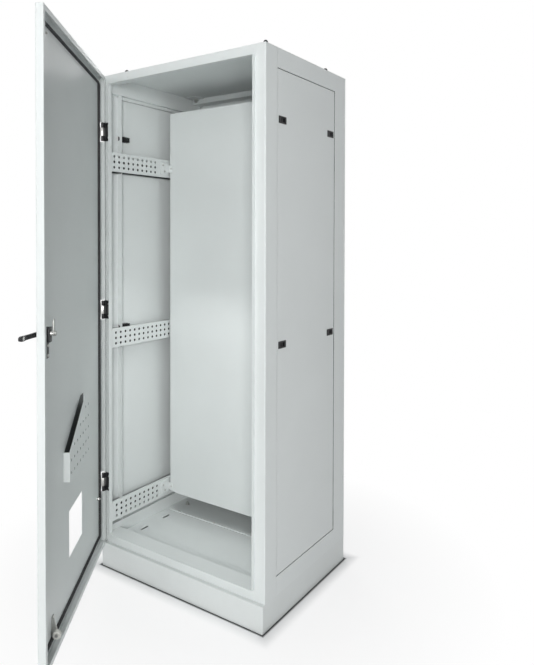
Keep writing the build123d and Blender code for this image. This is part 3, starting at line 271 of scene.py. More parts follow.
    def shade_inside_pocket(self):
        """1 on the door sheet that the perforated pocket covers, where painted shade goes."""
        u = self.along_door(door_along)
        height = self.axes()["Z"]
        slope = self.combined("ADD", height, self.combined("MULTIPLY", u, pocket_slope))
        side = self.chosen(u, *pocket_u)
        sheet = self.chosen(self.along_door(door_inward), *pocket_n)
        foot = self.chosen(height, *pocket_z)
        top = self.chosen(slope, 0.0, pocket_slope_top)
        covered = self.combined("MULTIPLY", side, sheet)
        return self.combined("MULTIPLY", covered, self.combined("MULTIPLY", foot, top))

    def shade_in_recess(self, reach, low, high):
        """1 where nearly everything round a point is closed in, such as behind the rail holes: where painted shade
        goes.
        """
        open_sky = self.add("ShaderNodeAmbientOcclusion", samples=6, Distance=reach)
        return self.spread(open_sky.outputs["AO"], 1.0, 0.0, low, high)


def shaded(colour, share):
    """Colour lighter or darker by a share, no channel past white."""
    return tuple(min(1.0, channel * share) for channel in colour)


def powder_coat(name, rough=0.42, dust=0.0, edges=0.45, edge_highlight_tone=1.16, rim=0.0018, round_off=0.0012,
                reach=0.020, shut=0.06, closed=0.24, behind=0.0, pocket=False, holes=False):
    """Powder-coated sheet: fine orange peel, faint tone drift, rounded edges with a painted highlight, painted
    shade in recesses, dust low down, and painted shade behind rails, inside the pocket and in holes where asked.
    """
    s = Shader(name)
    tone = s.ramp(s.noise(1.7, 3.0, 0.5), [(0.35, shaded(paint, 0.955)), (0.65, paint)])
    specks = s.spread(s.noise(900.0, 2.0, 0.6), 0.0, 0.10, 0.55, 0.75)
    tone = s.mix(specks, tone, shaded(paint, 0.80))
    # Painted highlight: edges lighter than the paint, standing in for light caught on rounded folds
    edge = s.edge_wear_and_highlight(rim, 0.80, 0.985)
    tone = s.mix(s.spread(edge, 0.0, edges, 0.0, 1.0), tone, shaded(paint, edge_highlight_tone))
    if dust:
        low = s.spread(s.axes()["Z"], dust, 0.0, 0.0, 0.16)
        tone = s.mix(s.combined("MULTIPLY", low, s.noise(14.0, 6.0, 0.62)), tone, (0.50, 0.49, 0.46))
    # Painted shade: near black where ambient occlusion finds a recess
    tone = s.mix(s.shade_in_recess(reach, shut, closed), tone, (0.030, 0.032, 0.033))
    # Painted shade on the sheet behind the perforated rails, seen through their holes
    if behind:
        tone = s.mix(s.shade_behind_rails(behind), tone, unlit)
    # Painted shade on the door sheet behind the perforated pocket
    if pocket:
        tone = s.mix(s.shade_inside_pocket(), tone, (0.060, 0.065, 0.066))
    # Painted shade: the pocket's hole walls near black, found by ambient occlusion
    if holes:
        tone = s.mix(s.shade_in_recess(0.010, 0.86, 0.95), tone, unlit)
    s.link(tone, s.bsdf.inputs["Base Color"])
    s.link(s.spread(s.noise(6.0, 5.0, 0.6), rough - 0.05, rough + 0.07), s.bsdf.inputs["Roughness"])
    s.bump(s.noise(420.0, 3.0, 0.5), 0.12, 0.0004, edge=round_off)
    return s.material


def zinc(name, colour, rough=0.34):
    """Zinc-plated steel: faint spangle and fine drawn scratches."""
    s = Shader(name)
    s.bsdf.inputs["Metallic"].default_value = 1.0
    tone = s.ramp(s.noise(60.0, 5.0, 0.7), [(0.3, shaded(colour, 0.78)), (0.7, colour)])
    s.link(tone, s.bsdf.inputs["Base Color"])
    s.link(s.spread(s.noise(140.0, 4.0, 0.6), rough - 0.08, rough + 0.12), s.bsdf.inputs["Roughness"])
    s.bump(s.noise(700.0, 2.0, 0.5), 0.08, 0.0002, edge=0.0005)
    return s.material


def casting(name, colour, rough=0.38):
    """Black coated zinc casting with a fine pebbled skin and worn edges."""
    s = Shader(name)
    tone = s.ramp(s.noise(35.0, 4.0, 0.6), [(0.35, shaded(colour, 0.7)), (0.7, colour)])
    patches = s.spread(s.noise(180.0, 5.0, 0.7), 0.0, 0.9, 0.5, 0.7)
    wear = s.combined("MULTIPLY", s.edge_wear_and_highlight(0.0008, 0.75, 0.98), patches)
    tone = s.mix(wear, tone, (0.22, 0.22, 0.23))
    s.link(tone, s.bsdf.inputs["Base Color"])
    s.link(s.spread(s.noise(90.0, 3.0, 0.6), rough - 0.06, rough + 0.1), s.bsdf.inputs["Roughness"])
    s.bump(s.noise(1100.0, 2.0, 0.5), 0.25, 0.0002, edge=0.0008)
    return s.material


def plastic(name, colour, rough=0.5, gloss=0.5):
    """Moulded plastic with a spark-eroded grain and slight tone drift."""
    s = Shader(name)
    s.bsdf.inputs["Specular IOR Level"].default_value = gloss
    tone = s.ramp(s.noise(28.0, 3.0, 0.5), [(0.3, shaded(colour, 0.82)), (0.7, colour)])
    s.link(tone, s.bsdf.inputs["Base Color"])
    s.link(s.spread(s.noise(240.0, 3.0, 0.6), rough - 0.07, rough + 0.08), s.bsdf.inputs["Roughness"])
    s.bump(s.noise(1300.0, 2.0, 0.5), 0.3, 0.0002, edge=0.0005)
    return s.material


def rubber(name, colour):
    """Foamed black seal with an open-pored skin."""
    s = Shader(name)
    pores = s.noise(900.0, 4.0, 0.7)
    s.link(s.ramp(pores, [(0.35, shaded(colour, 0.55)), (0.65, colour)]), s.bsdf.inputs["Base Color"])
    s.link(s.spread(s.noise(70.0, 3.0, 0.6), 0.62, 0.82), s.bsdf.inputs["Roughness"])
    s.bump(pores, 0.4, 0.0003)
    return s.material


# One finish for each material slot, and a few nodes with painted shade in their joints and through their holes,
# and side panels with a painted edge highlight
finish = {
    "painted_frame": powder_coat("frame_powder_coat", behind=post_reach),
    "painted_door": powder_coat("door_powder_coat", pocket=True),
    "painted_plinth": powder_coat("plinth_powder_coat", dust=0.30),
    "painted_inner": powder_coat("inner_powder_coat", rough=0.46, edges=0.15),
    "zinc_hardware": zinc("zinc_plated_steel", (0.62, 0.62, 0.60)),
    "black_castings": casting("black_coated_casting", (0.014, 0.014, 0.016)),
    "black_plastic": plastic("black_moulded_plastic", (0.010, 0.010, 0.011), gloss=0.30),
    "pale_plastic": plastic("pale_nylon", (0.70, 0.70, 0.66), rough=0.42),
    "black_rubber": rubber("black_foamed_seal", (0.030, 0.030, 0.032)),
}
# Painted shade in the joints round the side panels and rear posts
gap_shade = {"reach": 0.006, "shut": 0.45, "closed": 0.85}
post_sheet = powder_coat("post_powder_coat", behind=post_reach, round_off=0.0035)
# Side panels: a painted highlight on their edges, painted shade in their joints and behind the rails
side_sheet = powder_coat("side_panel_powder_coat", edges=1.0, edge_highlight_tone=1.24, behind=panel_reach,
                         round_off=0.0050, rim=0.0045, **gap_shade)
special = {
    "side_panel_left": side_sheet,
    "side_panel_right": side_sheet,
    "front_post_left": post_sheet,
    "front_post_right": post_sheet,
    "rear_posts": powder_coat("rear_post_powder_coat", behind=post_reach, round_off=0.0035, **gap_shade),
    "pocket_front": powder_coat("pocket_powder_coat", holes=True),
}
slot_of = {part["node"]: part["material_slot"] for part in frame["record"]["subparts"]}
smooth_limit = radians(32)

for name, obj in nodes.items():
    obj.data.materials.clear()
    obj.data.materials.append(special.get(name, finish[slot_of[name]]))
    obj.data.shade_smooth()
    obj.data.set_sharp_from_angle(angle=smooth_limit)


# Detailed pieces that stand for plain CAD nodes, and the sizes of their fasteners:
# head radius, head height and shank radius of a screw, radius and pitch of a thread
panel_screw = (5.5 * mm, 3.0 * mm, 3.0 * mm)
small_screw = (4.5 * mm, 2.5 * mm, 2.5 * mm)
m12_radius = 6.0 * mm
m12_pitch = 1.75 * mm
m8_radius = 4.0 * mm
m8_pitch = 1.25 * mm


def new_piece(name, body, node, bm):
    """Finished object from a bmesh: it takes the node's finish and stands for the node."""
    bmesh.ops.recalc_face_normals(bm, faces=bm.faces[:])
    mesh = bpy.data.meshes.new(name)
    bm.to_mesh(mesh)
    bm.free()
    mesh.materials.append(finish[slot_of[node]])
    mesh.shade_smooth()
    mesh.set_sharp_from_angle(angle=smooth_limit)
    obj = bpy.data.objects.new(name, mesh)
    bpy.context.collection.objects.link(obj)
    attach(obj, body)
    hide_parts(node)


def bridge(bm, near, far):
    """Faces between two loops of as many vertices."""
    for k in range(len(near)):
        following = (k + 1) % len(near)
        bm.faces.new((near[k], near[following], far[following], far[k]))


def turning_frame(axis):
    """Unit axis and two unit directions across it."""
    axis = axis.normalized()
    side = axis.orthogonal().normalized()
    return axis, side, axis.cross(side)


def turned(bm, origin, axis, rings, segments=24):
    """Closed turned form: each ring gives (radius, height) for an angle, along the axis from the origin."""
    axis, side, across = turning_frame(axis)
    loops = []
    for ring in rings:
        loop = []
        for k in range(segments):
            angle = tau * k / segments
            radius, rise = ring(angle) if callable(ring) else ring
            away = side * cos(angle) + across * sin(angle)
            loop.append(bm.verts.new(origin + axis * rise + away * radius))
        loops.append(loop)
    for low, high in zip(loops, loops[1:]):
        bridge(bm, low, high)
    for loop, ring in ((loops[0], rings[0]), (loops[-1], rings[-1])):
        rise = (ring(0) if callable(ring) else ring)[1]
        centre = bm.verts.new(origin + axis * rise)
        for k in range(segments):
            bm.faces.new((loop[k], loop[(k + 1) % segments], centre))


def six_lobe(radius, rise):
    """Ring of a six-lobed socket."""
    return lambda angle: (radius * (1 + 0.14 * cos(6 * angle)), rise)


def hexagon(flat, rise, chamfer=0.0):
    """Ring of a hexagon, whose corners drop with the chamfer."""
    def ring(angle):
        turn = (angle + pi / 6) % (pi / 3) - pi / 6
        radius = flat / cos(turn)
        return radius, rise - chamfer * (radius - flat)
    return ring


def pan_screw(bm, seat, out, head_radius, head, shank_radius, shank):
    """Screw with a domed head and a six-lobed socket; its head stands on the seat and its shank goes in."""
    socket = head_radius * 0.42
    turned(bm, seat, out, [
        (shank_radius * 0.8, -shank),
        (shank_radius, -shank + shank_radius * 0.25),
        (shank_radius, 0.0),
        (head_radius * 0.97, 0.0),
        (head_radius, head * 0.12),
        (head_radius * 0.97, head * 0.48),
        (head_radius * 0.84, head * 0.80),
        (head_radius * 0.66, head * 0.96),
        six_lobe(socket * 1.08, head),
        six_lobe(socket, head * 0.93),
        six_lobe(socket * 0.92, head * 0.30),
    ], 36)


def hex_head(bm, seat, out, flat, head, bore=0.0, shank=0.0):
    """Bolt head with its shank, or a nut with a bore: both faces chamfered, and a washer face below."""
    rings = [
        (flat * 0.93, 0.0),
        (flat * 0.95, head * 0.05),
        hexagon(flat * 0.995, head * 0.09, -0.3),
        hexagon(flat, head * 0.93, 0.55),
        (flat * 0.93, head),
    ]
    if bore:
        rings = [(bore, 0.0), (flat * 0.93, 0.0)] + rings[1:] + [(bore * 1.12, head), (bore, head * 0.93)]
    else:
        rings += [(flat * 0.55, head), (flat * 0.50, head * 0.94)]
    if shank:
        rings = [(flat * 0.5, -shank), (flat * 0.5, 0.0)] + rings
    turned(bm, seat, out, rings, 48)


def threaded_rod(bm, foot, out, radius, length, pitch, per_turn=16):
    """Rod with a helical thread between its chamfered ends."""
    out, side, across = turning_frame(out)
    root = radius - pitch * 0.5
    turns = int(length / pitch) - 1
    start = (length - turns * pitch) / 2

    def point(radius, angle, rise):
        return bm.verts.new(foot + out * rise + (side * cos(angle) + across * sin(angle)) * radius)

    grid = []
    for step in range(turns * per_turn + 1):
        angle = tau * step / per_turn
        rise = start + pitch * step / per_turn
        grid.append((point(root, angle, rise - pitch / 2), point(radius, angle, rise)))
    for step in range(turns * per_turn):
        near, far = grid[step], grid[step + 1]
        bm.faces.new((near[0], far[0], far[1], near[1]))
        if step + 1 + per_turn < len(grid):
            above, beyond = grid[step + per_turn], grid[step + 1 + per_turn]
            bm.faces.new((near[1], far[1], beyond[0], above[0]))
    for low, high in ((0.0, start), (length - start, length)):
        edge = root * 0.98
        rings = [(edge * 0.8, low), (edge, low + start * 0.3), (edge, high)]
        if high == length:
            rings = [(edge, low), (edge, high - start * 0.3), (edge * 0.8, high)]
        turned(bm, foot, out, rings, per_turn)


def dress_screws(node, name, body, out_of, head_radius, head, shank_radius):
    """Gives every solid of a screw node a domed, socketed head; out_of says which way a head points."""
    bm = bmesh.new()
    for points in solids_of(node):
        out = out_of(points)
        low, high = spans(points, out)
        centre = sum(points, Vector()) / len(points)
        seat = centre + out * (high - head - centre.dot(out))
        pan_screw(bm, seat, out, head_radius, head, shank_radius, high - head - low)
    new_piece(name, body, node, bm)


def true_axis(points):
    """Axis of a short turned solid among X, Y and Z: the one across which it is round."""
    reach = [spans(points, axis) for axis in (Vector((1, 0, 0)), Vector((0, 1, 0)), Vector((0, 0, 1)))]
    size = [high - low for low, high in reach]
    pairs = [(abs(size[1] - size[2]), 0), (abs(size[0] - size[2]), 1), (abs(size[0] - size[1]), 2)]
    roundest = min(pairs)[1]
    return Vector([1.0 if k == roundest else 0.0 for k in range(3)])


def frame_screw(points):
    """Way out of a screw or bolt on the cabinet: along its axis towards the wide end."""
    axis = true_axis(points)
    low, high = spans(points, axis)
    middle = (low + high) / 2
    centre = sum(points, Vector()) / len(points)
    centre -= axis * centre.dot(axis)

    def width(half):
        return max((p - axis * p.dot(axis) - centre).length for p in half)

    upper = [p for p in points if p.dot(axis) > middle]
    lower = [p for p in points if p.dot(axis) <= middle]
    return axis if width(upper) >= width(lower) else -axis


def dress_plate_bolts():
    """Clip screws with sockets, and hexagon bolts that hold the mounting plate."""
    bolt_flat = 3.95 * mm
    bolt_head = 3.2 * mm
    screw_head_radius, screw_head, screw_shank = small_screw
    bm = bmesh.new()
    for points in solids_of("plate_bolts"):
        through_plate = true_axis(points).y
        out = Vector((0, -1, 0)) if through_plate else frame_screw(points)
        low, high = spans(points, out)
        centre = sum(points, Vector()) / len(points)
        head = bolt_head if through_plate else screw_head
        seat = centre + out * (high - head - centre.dot(out))
        if through_plate:
            hex_head(bm, seat, out, bolt_flat, head, shank=high - head - low)
        else:
            pan_screw(bm, seat, out, screw_head_radius, head, screw_shank, high - head - low)
    new_piece("plate_bolts_and_clip_screws", "cabinet", "plate_bolts", bm)


def dress_plinth_bolts():
    """Hexagon bolts below the plinth flanges, with threaded shanks."""
    shank = 12.0 * mm
    bm = bmesh.new()
    for points in solids_of("plinth_bolts"):
        centre = sum(points, Vector()) / len(points)
        seat = Vector((centre.x, centre.y, spans(points, up)[1] - shank))
        hex_head(bm, seat, -up, 8.3 * mm, 8.0 * mm)
        threaded_rod(bm, seat, up, m12_radius, shank, m12_pitch)
    new_piece("plinth_bolts_with_threads", "cabinet", "plinth_bolts", bm)


def dress_roof_fixings():
    """Threaded roof studs, their nuts, ground washers and domed caps."""
    rods = bmesh.new()
    for foot, tall in upright_solids("roof_studs"):
        threaded_rod(rods, foot, up, m12_radius, tall, m12_pitch)
    new_piece("roof_studs_threaded", "cabinet", "roof_studs", rods)
    nuts = bmesh.new()
    for foot, tall in upright_solids("roof_nuts"):
        hex_head(nuts, foot, up, 9.0 * mm, tall, bore=m12_radius + 0.05 * mm)
    new_piece("roof_nuts_chamfered", "cabinet", "roof_nuts", nuts)
    washers = bmesh.new()
    for foot, tall in upright_solids("roof_washers"):
        turned(washers, foot, up, [
            (6.5 * mm, tall * 0.1), (6.9 * mm, 0), (11.5 * mm, 0), (12.0 * mm, tall * 0.25),
            (12.0 * mm, tall * 0.7), (11.4 * mm, tall), (7.0 * mm, tall), (6.5 * mm, tall * 0.85),
        ], 48)
    new_piece("roof_washers_ground", "cabinet", "roof_washers", washers)
    caps = bmesh.new()
    wide = 8.6 * mm
    neck = wide * 0.94
    for foot, tall in upright_solids("roof_caps"):
        outline = [(wide * 0.90, 0), (wide, 0.6 * mm), (wide, 3.0 * mm), (wide * 0.955, 3.6 * mm),
                   (neck, tall - wide)]
        for step in range(1, 8):
            angle = step * pi / 16
            outline.append((neck * cos(angle), tall - wide + wide * sin(angle)))
        turned(caps, foot, up, outline, 48)
    new_piece("roof_caps_moulded", "cabinet", "roof_caps", caps)


def stud_with_nut(bm, foot, out, length, washer, nut_flat, nut_height, segments):
    """M8 earth stud with a ground washer, given as an outline, and a nut on it."""
    threaded_rod(bm, foot, out, m8_radius, length, m8_pitch)
    thickness = washer[-1][1]
    hex_head(bm, foot + out * thickness, out, nut_flat, nut_height, bore=m8_radius - 0.1 * mm)
    turned(bm, foot, out, washer, segments)


def dress_earth_studs():
    """Earth studs inside the door and the one on the floor, which is stouter."""
    washer = [(6.4 * mm, 0), (6.5 * mm, 0.3 * mm), (6.5 * mm, 1.0 * mm), (6.2 * mm, 1.2 * mm)]
    bm = bmesh.new()
    for points in solids_of("earth_studs"):
        low, high = spans(points, door_inward)
        level = sum(spans(points, up)) / 2
        across = sum(spans(points, door_along)) / 2
        foot = door_inward * low + up * level + door_along * across
        stud_with_nut(bm, foot, door_inward, high - low, washer, 6.2 * mm, 5.3 * mm, 24)
    new_piece("earth_studs_threaded", "door", "earth_studs", bm)
    washer = [(9.6 * mm, 0), (10.0 * mm, 0.3 * mm), (10.0 * mm, 1.2 * mm), (9.5 * mm, 1.6 * mm)]
    bm = bmesh.new()
    for foot, tall in upright_solids("floor_stud"):
        stud_with_nut(bm, foot, up, tall, washer, 6.3 * mm, 6.5 * mm, 32)
    new_piece("floor_stud_threaded", "cabinet", "floor_stud", bm)


def rounded_rectangle(half_u, half_z, corner, steps):
    """Points (u, z) of a rounded rectangle round its middle, each with its outward direction."""
    points = []
    for quarter, side_u, side_z in ((0, 1, 1), (1, -1, 1), (2, -1, -1), (3, 1, -1)):
        for k in range(steps + 1):
            angle = (quarter + k / steps) * pi / 2
            out_u, out_z = cos(angle), sin(angle)
            u = side_u * (half_u - corner) + corner * out_u
            z = side_z * (half_z - corner) + corner * out_z
            points.append((u, z, out_u, out_z))
    return points


def mirrored(half):
    """Outline of (across, rise) points and its mirror image, which share the last point."""
    return half + [(-across, rise) for across, rise in reversed(half[:-1])]


def dress_door_gasket():
    """Foamed bead round the door: a low foot and a crowned, slightly uneven top."""
    width = 9.0 * mm
    corner = 14.0 * mm - width / 2
    longest_run = 40 * mm
    low, high = door_extent("door_gasket")
    middle_u, base, middle_z = (low[0] + high[0]) / 2, low[1], (low[2] + high[2]) / 2
    tall = high[1] - base
    path = rounded_rectangle((high[0] - low[0] - width) / 2, (high[2] - low[2] - width) / 2, corner, 8)
    run = []
    for first, second in zip(path, path[1:] + path[:1]):
        gap = ((first[0] - second[0]) ** 2 + (first[1] - second[1]) ** 2) ** 0.5
        pieces = max(1, int(gap / longest_run))
        for k in range(pieces):
            run.append(tuple(a + (b - a) * k / pieces for a, b in zip(first, second)))
    # Shares of the bead's width and height
    profile = mirrored([(-0.50, 0.0), (-0.50, 0.16), (-0.44, 0.22), (-0.40, 0.45), (-0.30, 0.76),
                        (-0.14, 0.95), (0.0, 1.0)])
    bm = bmesh.new()
    loops = []
    for k, (u, z, out_u, out_z) in enumerate(run):
        sway = 0.035 * sin(k * 1.7) + 0.025 * sin(k * 0.61 + 1.0)
        swell = 0.985 + 0.012 * sin(k * 2.3)
        loop = []
        for across, rise in profile:
            reach = (across * 0.98 + sway * rise) * width
            place = door_place(middle_u + u + out_u * reach, base + tall * rise * swell,
                               middle_z + z + out_z * reach)
            loop.append(bm.verts.new(place))
        loops.append(loop)
    for near, far in zip(loops, loops[1:] + loops[:1]):
        bridge(bm, near, far)
    new_piece("door_gasket_foamed_bead", "door", "door_gasket", bm)


def lofted(bm, sections):
    """Closed skin through rings of points, with its two ends closed."""
    loops = [[bm.verts.new(point) for point in section] for section in sections]
    for near, far in zip(loops, loops[1:]):
        bridge(bm, near, far)
    bm.faces.new(loops[0])
    bm.faces.new(list(reversed(loops[-1])))


def squarish(value, power):
    """Sine or cosine bent towards a squarer ring."""
    return abs(value) ** power * (1 if value >= 0 else -1)


# The lever at rest: lifted a little from its dish, about the pin in its eye
lever_pivot = Vector(joints["lever_lift"]["pos_m"])
lever_lifted = radians(11)
lever_along = door_along * cos(lever_lifted) - door_inward * sin(lever_lifted)
lever_out = -door_along * sin(lever_lifted) - door_inward * cos(lever_lifted)


def lever_place(along, across, rise):
    """Point of the lever, in millimetres from its pin."""
    return lever_pivot + (lever_along * along + up * across + lever_out * rise) * mm


def lever_shaft(bm):
    """Eye round the pin, waisted neck, and shaft with a crowned back and a hollowed finger side."""
    # Place along the lever, half width, height of the back, depth of the finger side
    stations = [
        (-4.0, 3.7, 0.7, 0.7), (-3.5, 3.9, 2.0, 2.0), (-2.6, 3.95, 3.1, 3.1), (-1.4, 3.95, 3.8, 3.8),
        (0.0, 3.95, 4.0, 4.0), (5.0, 3.95, 4.0, 4.0),
        (8.6, 4.0, 3.9, 3.9), (9.6, 6.6, 4.0, 3.9), (12.0, 7.5, 4.1, 4.1), (20.0, 7.7, 4.3, 4.0),
        (34.0, 7.5, 4.5, 3.3), (50.0, 7.25, 4.7, 2.9), (66.0, 7.25, 4.5, 3.0), (80.0, 7.3, 3.2, 3.7),
        (84.5, 6.6, 2.5, 3.9),
    ]
    steps = 28
    sections = []
    for along, half, back, hollow in stations:
        ring = []
        for k in range(steps):
            angle = tau * k / steps
            rise = squarish(sin(angle), 0.62) * (back if sin(angle) >= 0 else hollow)
            ring.append(lever_place(along, half * squarish(cos(angle), 0.55), rise))
        sections.append(ring)
    lofted(bm, sections)


def lever_nose(bm):
    """Full nose, drawn out towards its tip, with a bore for the key plug."""
    start = 96.0
    length = 15.1
    half_width = 7.75
    lock_centre = 93.0
    steps = 48
    angles = [tau * k / steps for k in range(steps)]
    rings = []
    for rise, share in ((-4.2, 0.90), (-3.4, 0.99), (1.4, 1.0), (2.3, 0.97), (2.6, 0.90)):
        ring = []
        for angle in angles:
            reach = length * share * squarish(cos(angle), 0.42 if cos(angle) < 0 else 0.95)
            ring.append((start + reach, half_width * share * squarish(sin(angle), 0.62), rise))
        rings.append(ring)
    for rise, radius in ((2.6, 6.6), (2.2, 5.75), (-3.6, 5.6), (-4.2, 6.2)):
        rings.append([(lock_centre + radius * cos(angle), radius * sin(angle), rise) for angle in angles])
    loops = [[bm.verts.new(lever_place(*point)) for point in ring] for ring in rings]
    for near, far in zip(loops, loops[1:] + loops[:1]):
        bridge(bm, near, far)


def dress_lever():
    """Swing lever, cast in one piece."""
    bm = bmesh.new()
    lever_shaft(bm)
    lever_nose(bm)
    new_piece("swing_lever_sculpted", "lever", "lock_lever", bm)


def dress_lock_body():
    """Moulded lock body: drafted walls, rounded edges, ribs between the screws, a collar at the spindle."""
    gear_foot = 1040 * mm
    foot_height = 12 * mm
    corner = 4 * mm
    collar = 1.2 * mm
    rib_levels = (1014 * mm, 1019 * mm, 1024 * mm)
    low, high = door_extent("lock_body")
    base, top = low[1], high[1]
    middle_u = (low[0] + high[0]) / 2
    half_u = (high[0] - low[0]) / 2
    bm = bmesh.new()

    def block(bottom, roof, face):
        middle_z = (bottom + roof) / 2
        outline = rounded_rectangle(half_u, (roof - bottom) / 2, corner, 4)
        rings = []
        for n, inset in ((base, 0.0), (face - 1.4 * mm, 0.35 * mm), (face - 0.4 * mm, 0.8 * mm),
                         (face, 1.8 * mm)):
            rings.append([door_place(middle_u + u - inset * out_u, n, middle_z + z - inset * out_z)
                          for u, z, out_u, out_z in outline])
        lofted(bm, rings)

    block(low[2], high[2], base + foot_height)
    block(gear_foot, high[2], top)
    turned(bm, door_place(middle_u, top - collar, lock_place.z), door_inward, [
        (9.5 * mm, 0),
        (9.5 * mm, 0.9 * mm),
        (9.2 * mm, collar),
        (6.4 * mm, collar),
        (6.1 * mm, 0.8 * mm),
    ], 36)
    for level in rib_levels:
        rings = []
        for n, wide, tall in ((-0.4, 8.0, 0.9), (-0.1, 7.8, 0.7), (0.0, 7.4, 0.4)):
            rings.append([door_place(middle_u + side_u * wide * mm, base + foot_height + n * mm,
                                     level + side_z * tall * mm)
                          for side_u, side_z in ((1, 1), (-1, 1), (-1, -1), (1, -1))])
        lofted(bm, rings)
    new_piece("lock_body_moulded", "door", "lock_body", bm)


def dress_roller():
    """Nylon guide roller: crowned tread, lightened flanks and a raised hub."""
    drawn_radius = 12.7
    drawn_bore = 3.1
    low, high = door_extent("guide_roller")
    half_width = (high[0] - low[0]) / 2
    fit = (high[2] - low[2]) / 2 / drawn_radius
    # Place across the width as a share of its half, and radius as drawn
    flank = [(-1.0, 6.0), (-0.84, 6.4), (-0.74, 6.9), (-0.74, 9.8), (-0.88, 10.3), (-1.0, 11.2),
             (-0.88, 12.2), (-0.6, 12.6), (0.0, drawn_radius)]
    outline = [(-1.0, drawn_bore), *mirrored(flank), (1.0, drawn_bore), (0.0, drawn_bore)]
    rings = [(radius * fit, half_width * across) for across, radius in outline]
    middle = door_place((low[0] + high[0]) / 2, (low[1] + high[1]) / 2, (low[2] + high[2]) / 2)
    bm = bmesh.new()
    turned(bm, middle, door_along, rings, 40)
    new_piece("guide_roller_crowned", "roller", "guide_roller", bm)


def dress_cam_nut():
    """Chamfered nut that holds the cam."""
    low, high = door_extent("cam_nut")
    bm = bmesh.new()
    foot = door_place((low[0] + high[0]) / 2, low[1], (low[2] + high[2]) / 2)
    hex_head(bm, foot, door_inward, 6.5 * mm, high[1] - low[1], bore=m8_radius + 0.05 * mm)
    new_piece("cam_nut_chamfered", "handle_turn", "cam_nut", bm)


dress_screws("panel_screws", "panel_and_gland_screws", "cabinet", frame_screw, *panel_screw)
dress_screws("hinge_bracket_screws", "hinge_screws_on_frame", "cabinet", frame_screw, *small_screw)
dress_screws("door_screws", "screws_inside_door", "door", lambda points: door_inward, *small_screw)
dress_plate_bolts()
dress_plinth_bolts()
dress_roof_fixings()
dress_earth_studs()
dress_door_gasket()
dress_lever()
dress_lock_body()
dress_roller()
dress_cam_nut()


def round_edges(name, width):
    """Rounds the sharp edges of a CAD node with modifiers, and leaves its mesh as it is."""
    obj = nodes[name]
    weld = obj.modifiers.new("join_faces", "WELD")
    weld.merge_threshold = 0.01 * mm
    bevel = obj.modifiers.new("rounded_edges", "BEVEL")
    bevel.width = width
    bevel.segments = 2
    bevel.limit_method = "ANGLE"
    bevel.angle_limit = radians(40)


edge_radii = {
    "hinge_brackets": 1.2 * mm,
    "hinge_leaves": 0.6 * mm,
    "plate_clips": 0.6 * mm,
    "latch_housings": 0.5 * mm,
    "guide_bracket": 0.7 * mm,
    "lock_dish": 0.6 * mm,
    "lock_cam": 0.7 * mm,
    "lock_spindle": 0.4 * mm,
}
for node, radius in edge_radii.items():
    round_edges(node, radius)


# Stage: pale floor that turns into the white surroundings, and soft studio light
def background_rays(tree):
    """1 for camera, glossy and transmission rays, which meet the white surroundings."""
    path = tree.nodes.new("ShaderNodeLightPath")
    seen = path.outputs["Is Camera Ray"]
    for kind in ("Is Glossy Ray", "Is Transmission Ray"):
        either = tree.nodes.new("ShaderNodeMath")
        either.operation = "MAXIMUM"
        tree.links.new(seen, either.inputs[0])
        tree.links.new(path.outputs[kind], either.inputs[1])
        seen = either.outputs["Value"]
    return seen


def studio_floor():
    """Floor that holds the shadow near the cabinet and turns white away from it, with a painted shadow line round
    the plinth's foot.
    """
    half_foot = (400 * mm, 300 * mm)
    painted_shadow_line = (4 * mm, 11 * mm)
    clear_of_foot = (6 * mm, 55 * mm)
    fading_white = (500 * mm, 1100 * mm)
    floor_reach = 60.0
    s = Shader("studio_floor")
    pale = s.ramp(s.noise(3.0, 3.0, 0.5), [(0.3, (0.885, 0.89, 0.895)), (0.7, (0.905, 0.91, 0.915))])
    gap = s.footprint_distance(*half_foot)
    # Painted shadow: a dark line on the floor just outside the plinth's footprint
    painted_shadow_share = s.spread(gap, 1.0, 0.0, *painted_shadow_line)
    s.link(s.mix(painted_shadow_share, pale, (0.045, 0.048, 0.05)), s.bsdf.inputs["Base Color"])
    s.bsdf.inputs["Roughness"].default_value = 0.85
    s.bsdf.inputs["Specular IOR Level"].default_value = 0.2
    reach = s.add("ShaderNodeVectorMath", operation="LENGTH")
    s.link(s.place(), reach.inputs[0])
    far = s.spread(reach.outputs["Value"], 0.78, 1.0, *fading_white)
    clear = s.spread(gap, 0.0, 1.0, *clear_of_foot)
    white = s.combined("MULTIPLY", s.combined("MULTIPLY", far, clear), background_rays(s.tree))
    glow = s.add("ShaderNodeEmission")
    mix = s.add("ShaderNodeMixShader")
    s.link(white, mix.inputs["Fac"])
    s.link(s.bsdf.outputs["BSDF"], mix.inputs[1])
    s.link(glow.outputs["Emission"], mix.inputs[2])
    s.link(mix.outputs["Shader"], s.tree.nodes["Material Output"].inputs["Surface"])
    mesh = bpy.data.meshes.new("studio_floor")
    corners = [(x * floor_reach, y * floor_reach, 0) for x, y in ((-1, -1), (1, -1), (1, 1), (-1, 1))]
    mesh.from_pydata(corners, [], [(0, 1, 2, 3)])
    mesh.materials.append(s.material)
    floor_piece = bpy.data.objects.new("studio_floor", mesh)
    bpy.context.collection.objects.link(floor_piece)


def surroundings(light_level):
    """World: white where the camera, gloss or glass meets it, plain and dim as light."""
    world = bpy.data.worlds.new("studio")
    bpy.context.scene.world = world
    world.use_nodes = True
    tree = world.node_tree
    background = tree.nodes["Background"]
    background.inputs["Color"].default_value = (0.94, 0.97, 1.0, 1)
    background.inputs["Strength"].default_value = light_level
    seen = tree.nodes.new("ShaderNodeBackground")
    seen.inputs["Color"].default_value = (1, 1, 1, 1)
    mix = tree.nodes.new("ShaderNodeMixShader")
    tree.links.new(background_rays(tree), mix.inputs["Fac"])
    tree.links.new(background.outputs["Background"], mix.inputs[1])
    tree.links.new(seen.outputs["Background"], mix.inputs[2])
    tree.links.new(mix.outputs["Shader"], tree.nodes["World Output"].inputs["Surface"])


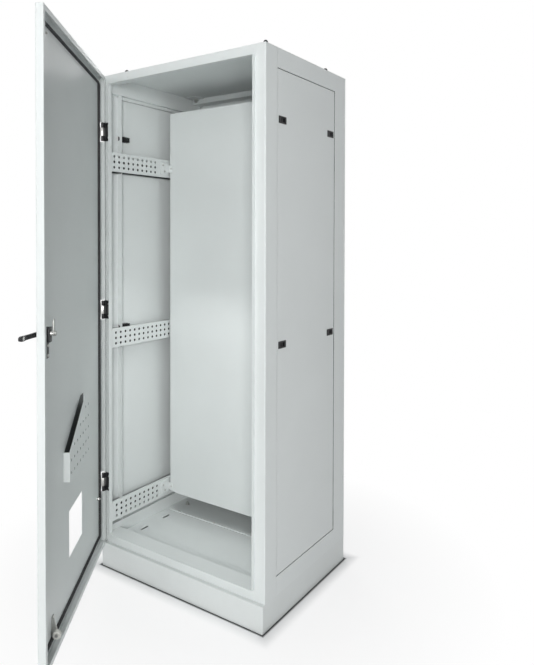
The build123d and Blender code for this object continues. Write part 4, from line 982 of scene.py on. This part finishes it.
def area_light(name, place, target, size, power, spread=180):
    """Soft rectangular lamp that shines from a place towards a target."""
    data = bpy.data.lights.new(name, "AREA")
    data.shape = "RECTANGLE"
    data.size, data.size_y = size
    data.energy = power
    data.spread = radians(spread)
    lamp = bpy.data.objects.new(name, data)
    bpy.context.collection.objects.link(lamp)
    lamp.location = place
    lamp.rotation_euler = (Vector(target) - Vector(place)).to_track_quat("-Z", "Y").to_euler()
    lamp.visible_camera = False


def camera():
    """Camera at the photograph's viewing angle."""
    data = bpy.data.cameras.new("photograph_view")
    data.sensor_fit = "HORIZONTAL"
    data.lens = focal_pixels / image_width * data.sensor_width
    data.shift_y = -(image_height / 2 - principal_row) / image_width
    data.clip_end = 200.0
    seen_from = bpy.data.objects.new("photograph_view", data)
    bpy.context.collection.objects.link(seen_from)
    turn = Matrix.Rotation(radians(camera_yaw), 4, "Z") @ Matrix.Rotation(radians(90 + camera_pitch), 4, "X")
    turn = turn @ Matrix.Rotation(radians(camera_roll), 4, "Z")
    seen_from.matrix_world = Matrix.Translation(camera_place) @ turn
    bpy.context.scene.camera = seen_from


studio_floor()
surroundings(light_level=0.12)
camera()
area_light("key_front", (1.2, -5.3, 3.2), (0.0, -0.1, 0.9), (4.5, 3.4), 68.0)
area_light("left_front", (-3.4, -4.2, 2.4), (0.0, -0.4, 1.0), (2.5, 3.0), 12.0)
area_light("camera_fill", (3.0, -4.0, 1.7), (-0.1, -0.3, 1.0), (0.9, 1.6), 105.0)
area_light("right_fill", (1.85, -1.00, 1.08), (-0.1, -0.5, 1.0), (0.5, 0.6), 1.7)
area_light("opening_fill", (0.0, -0.21, 1.30), (0.0, -0.10, 0.1), (0.55, 0.12), 0.55, spread=100)
area_light("top_soft", (0.4, -0.8, 5.2), (0.0, 0.0, 2.0), (3.0, 3.0), 36.0)
area_light("back_fill", (-3.9, 3.6, 2.6), (0.0, 0.0, 1.0), (3.0, 2.5), 130.0)
bpy.context.scene.view_settings.view_transform = "Standard"
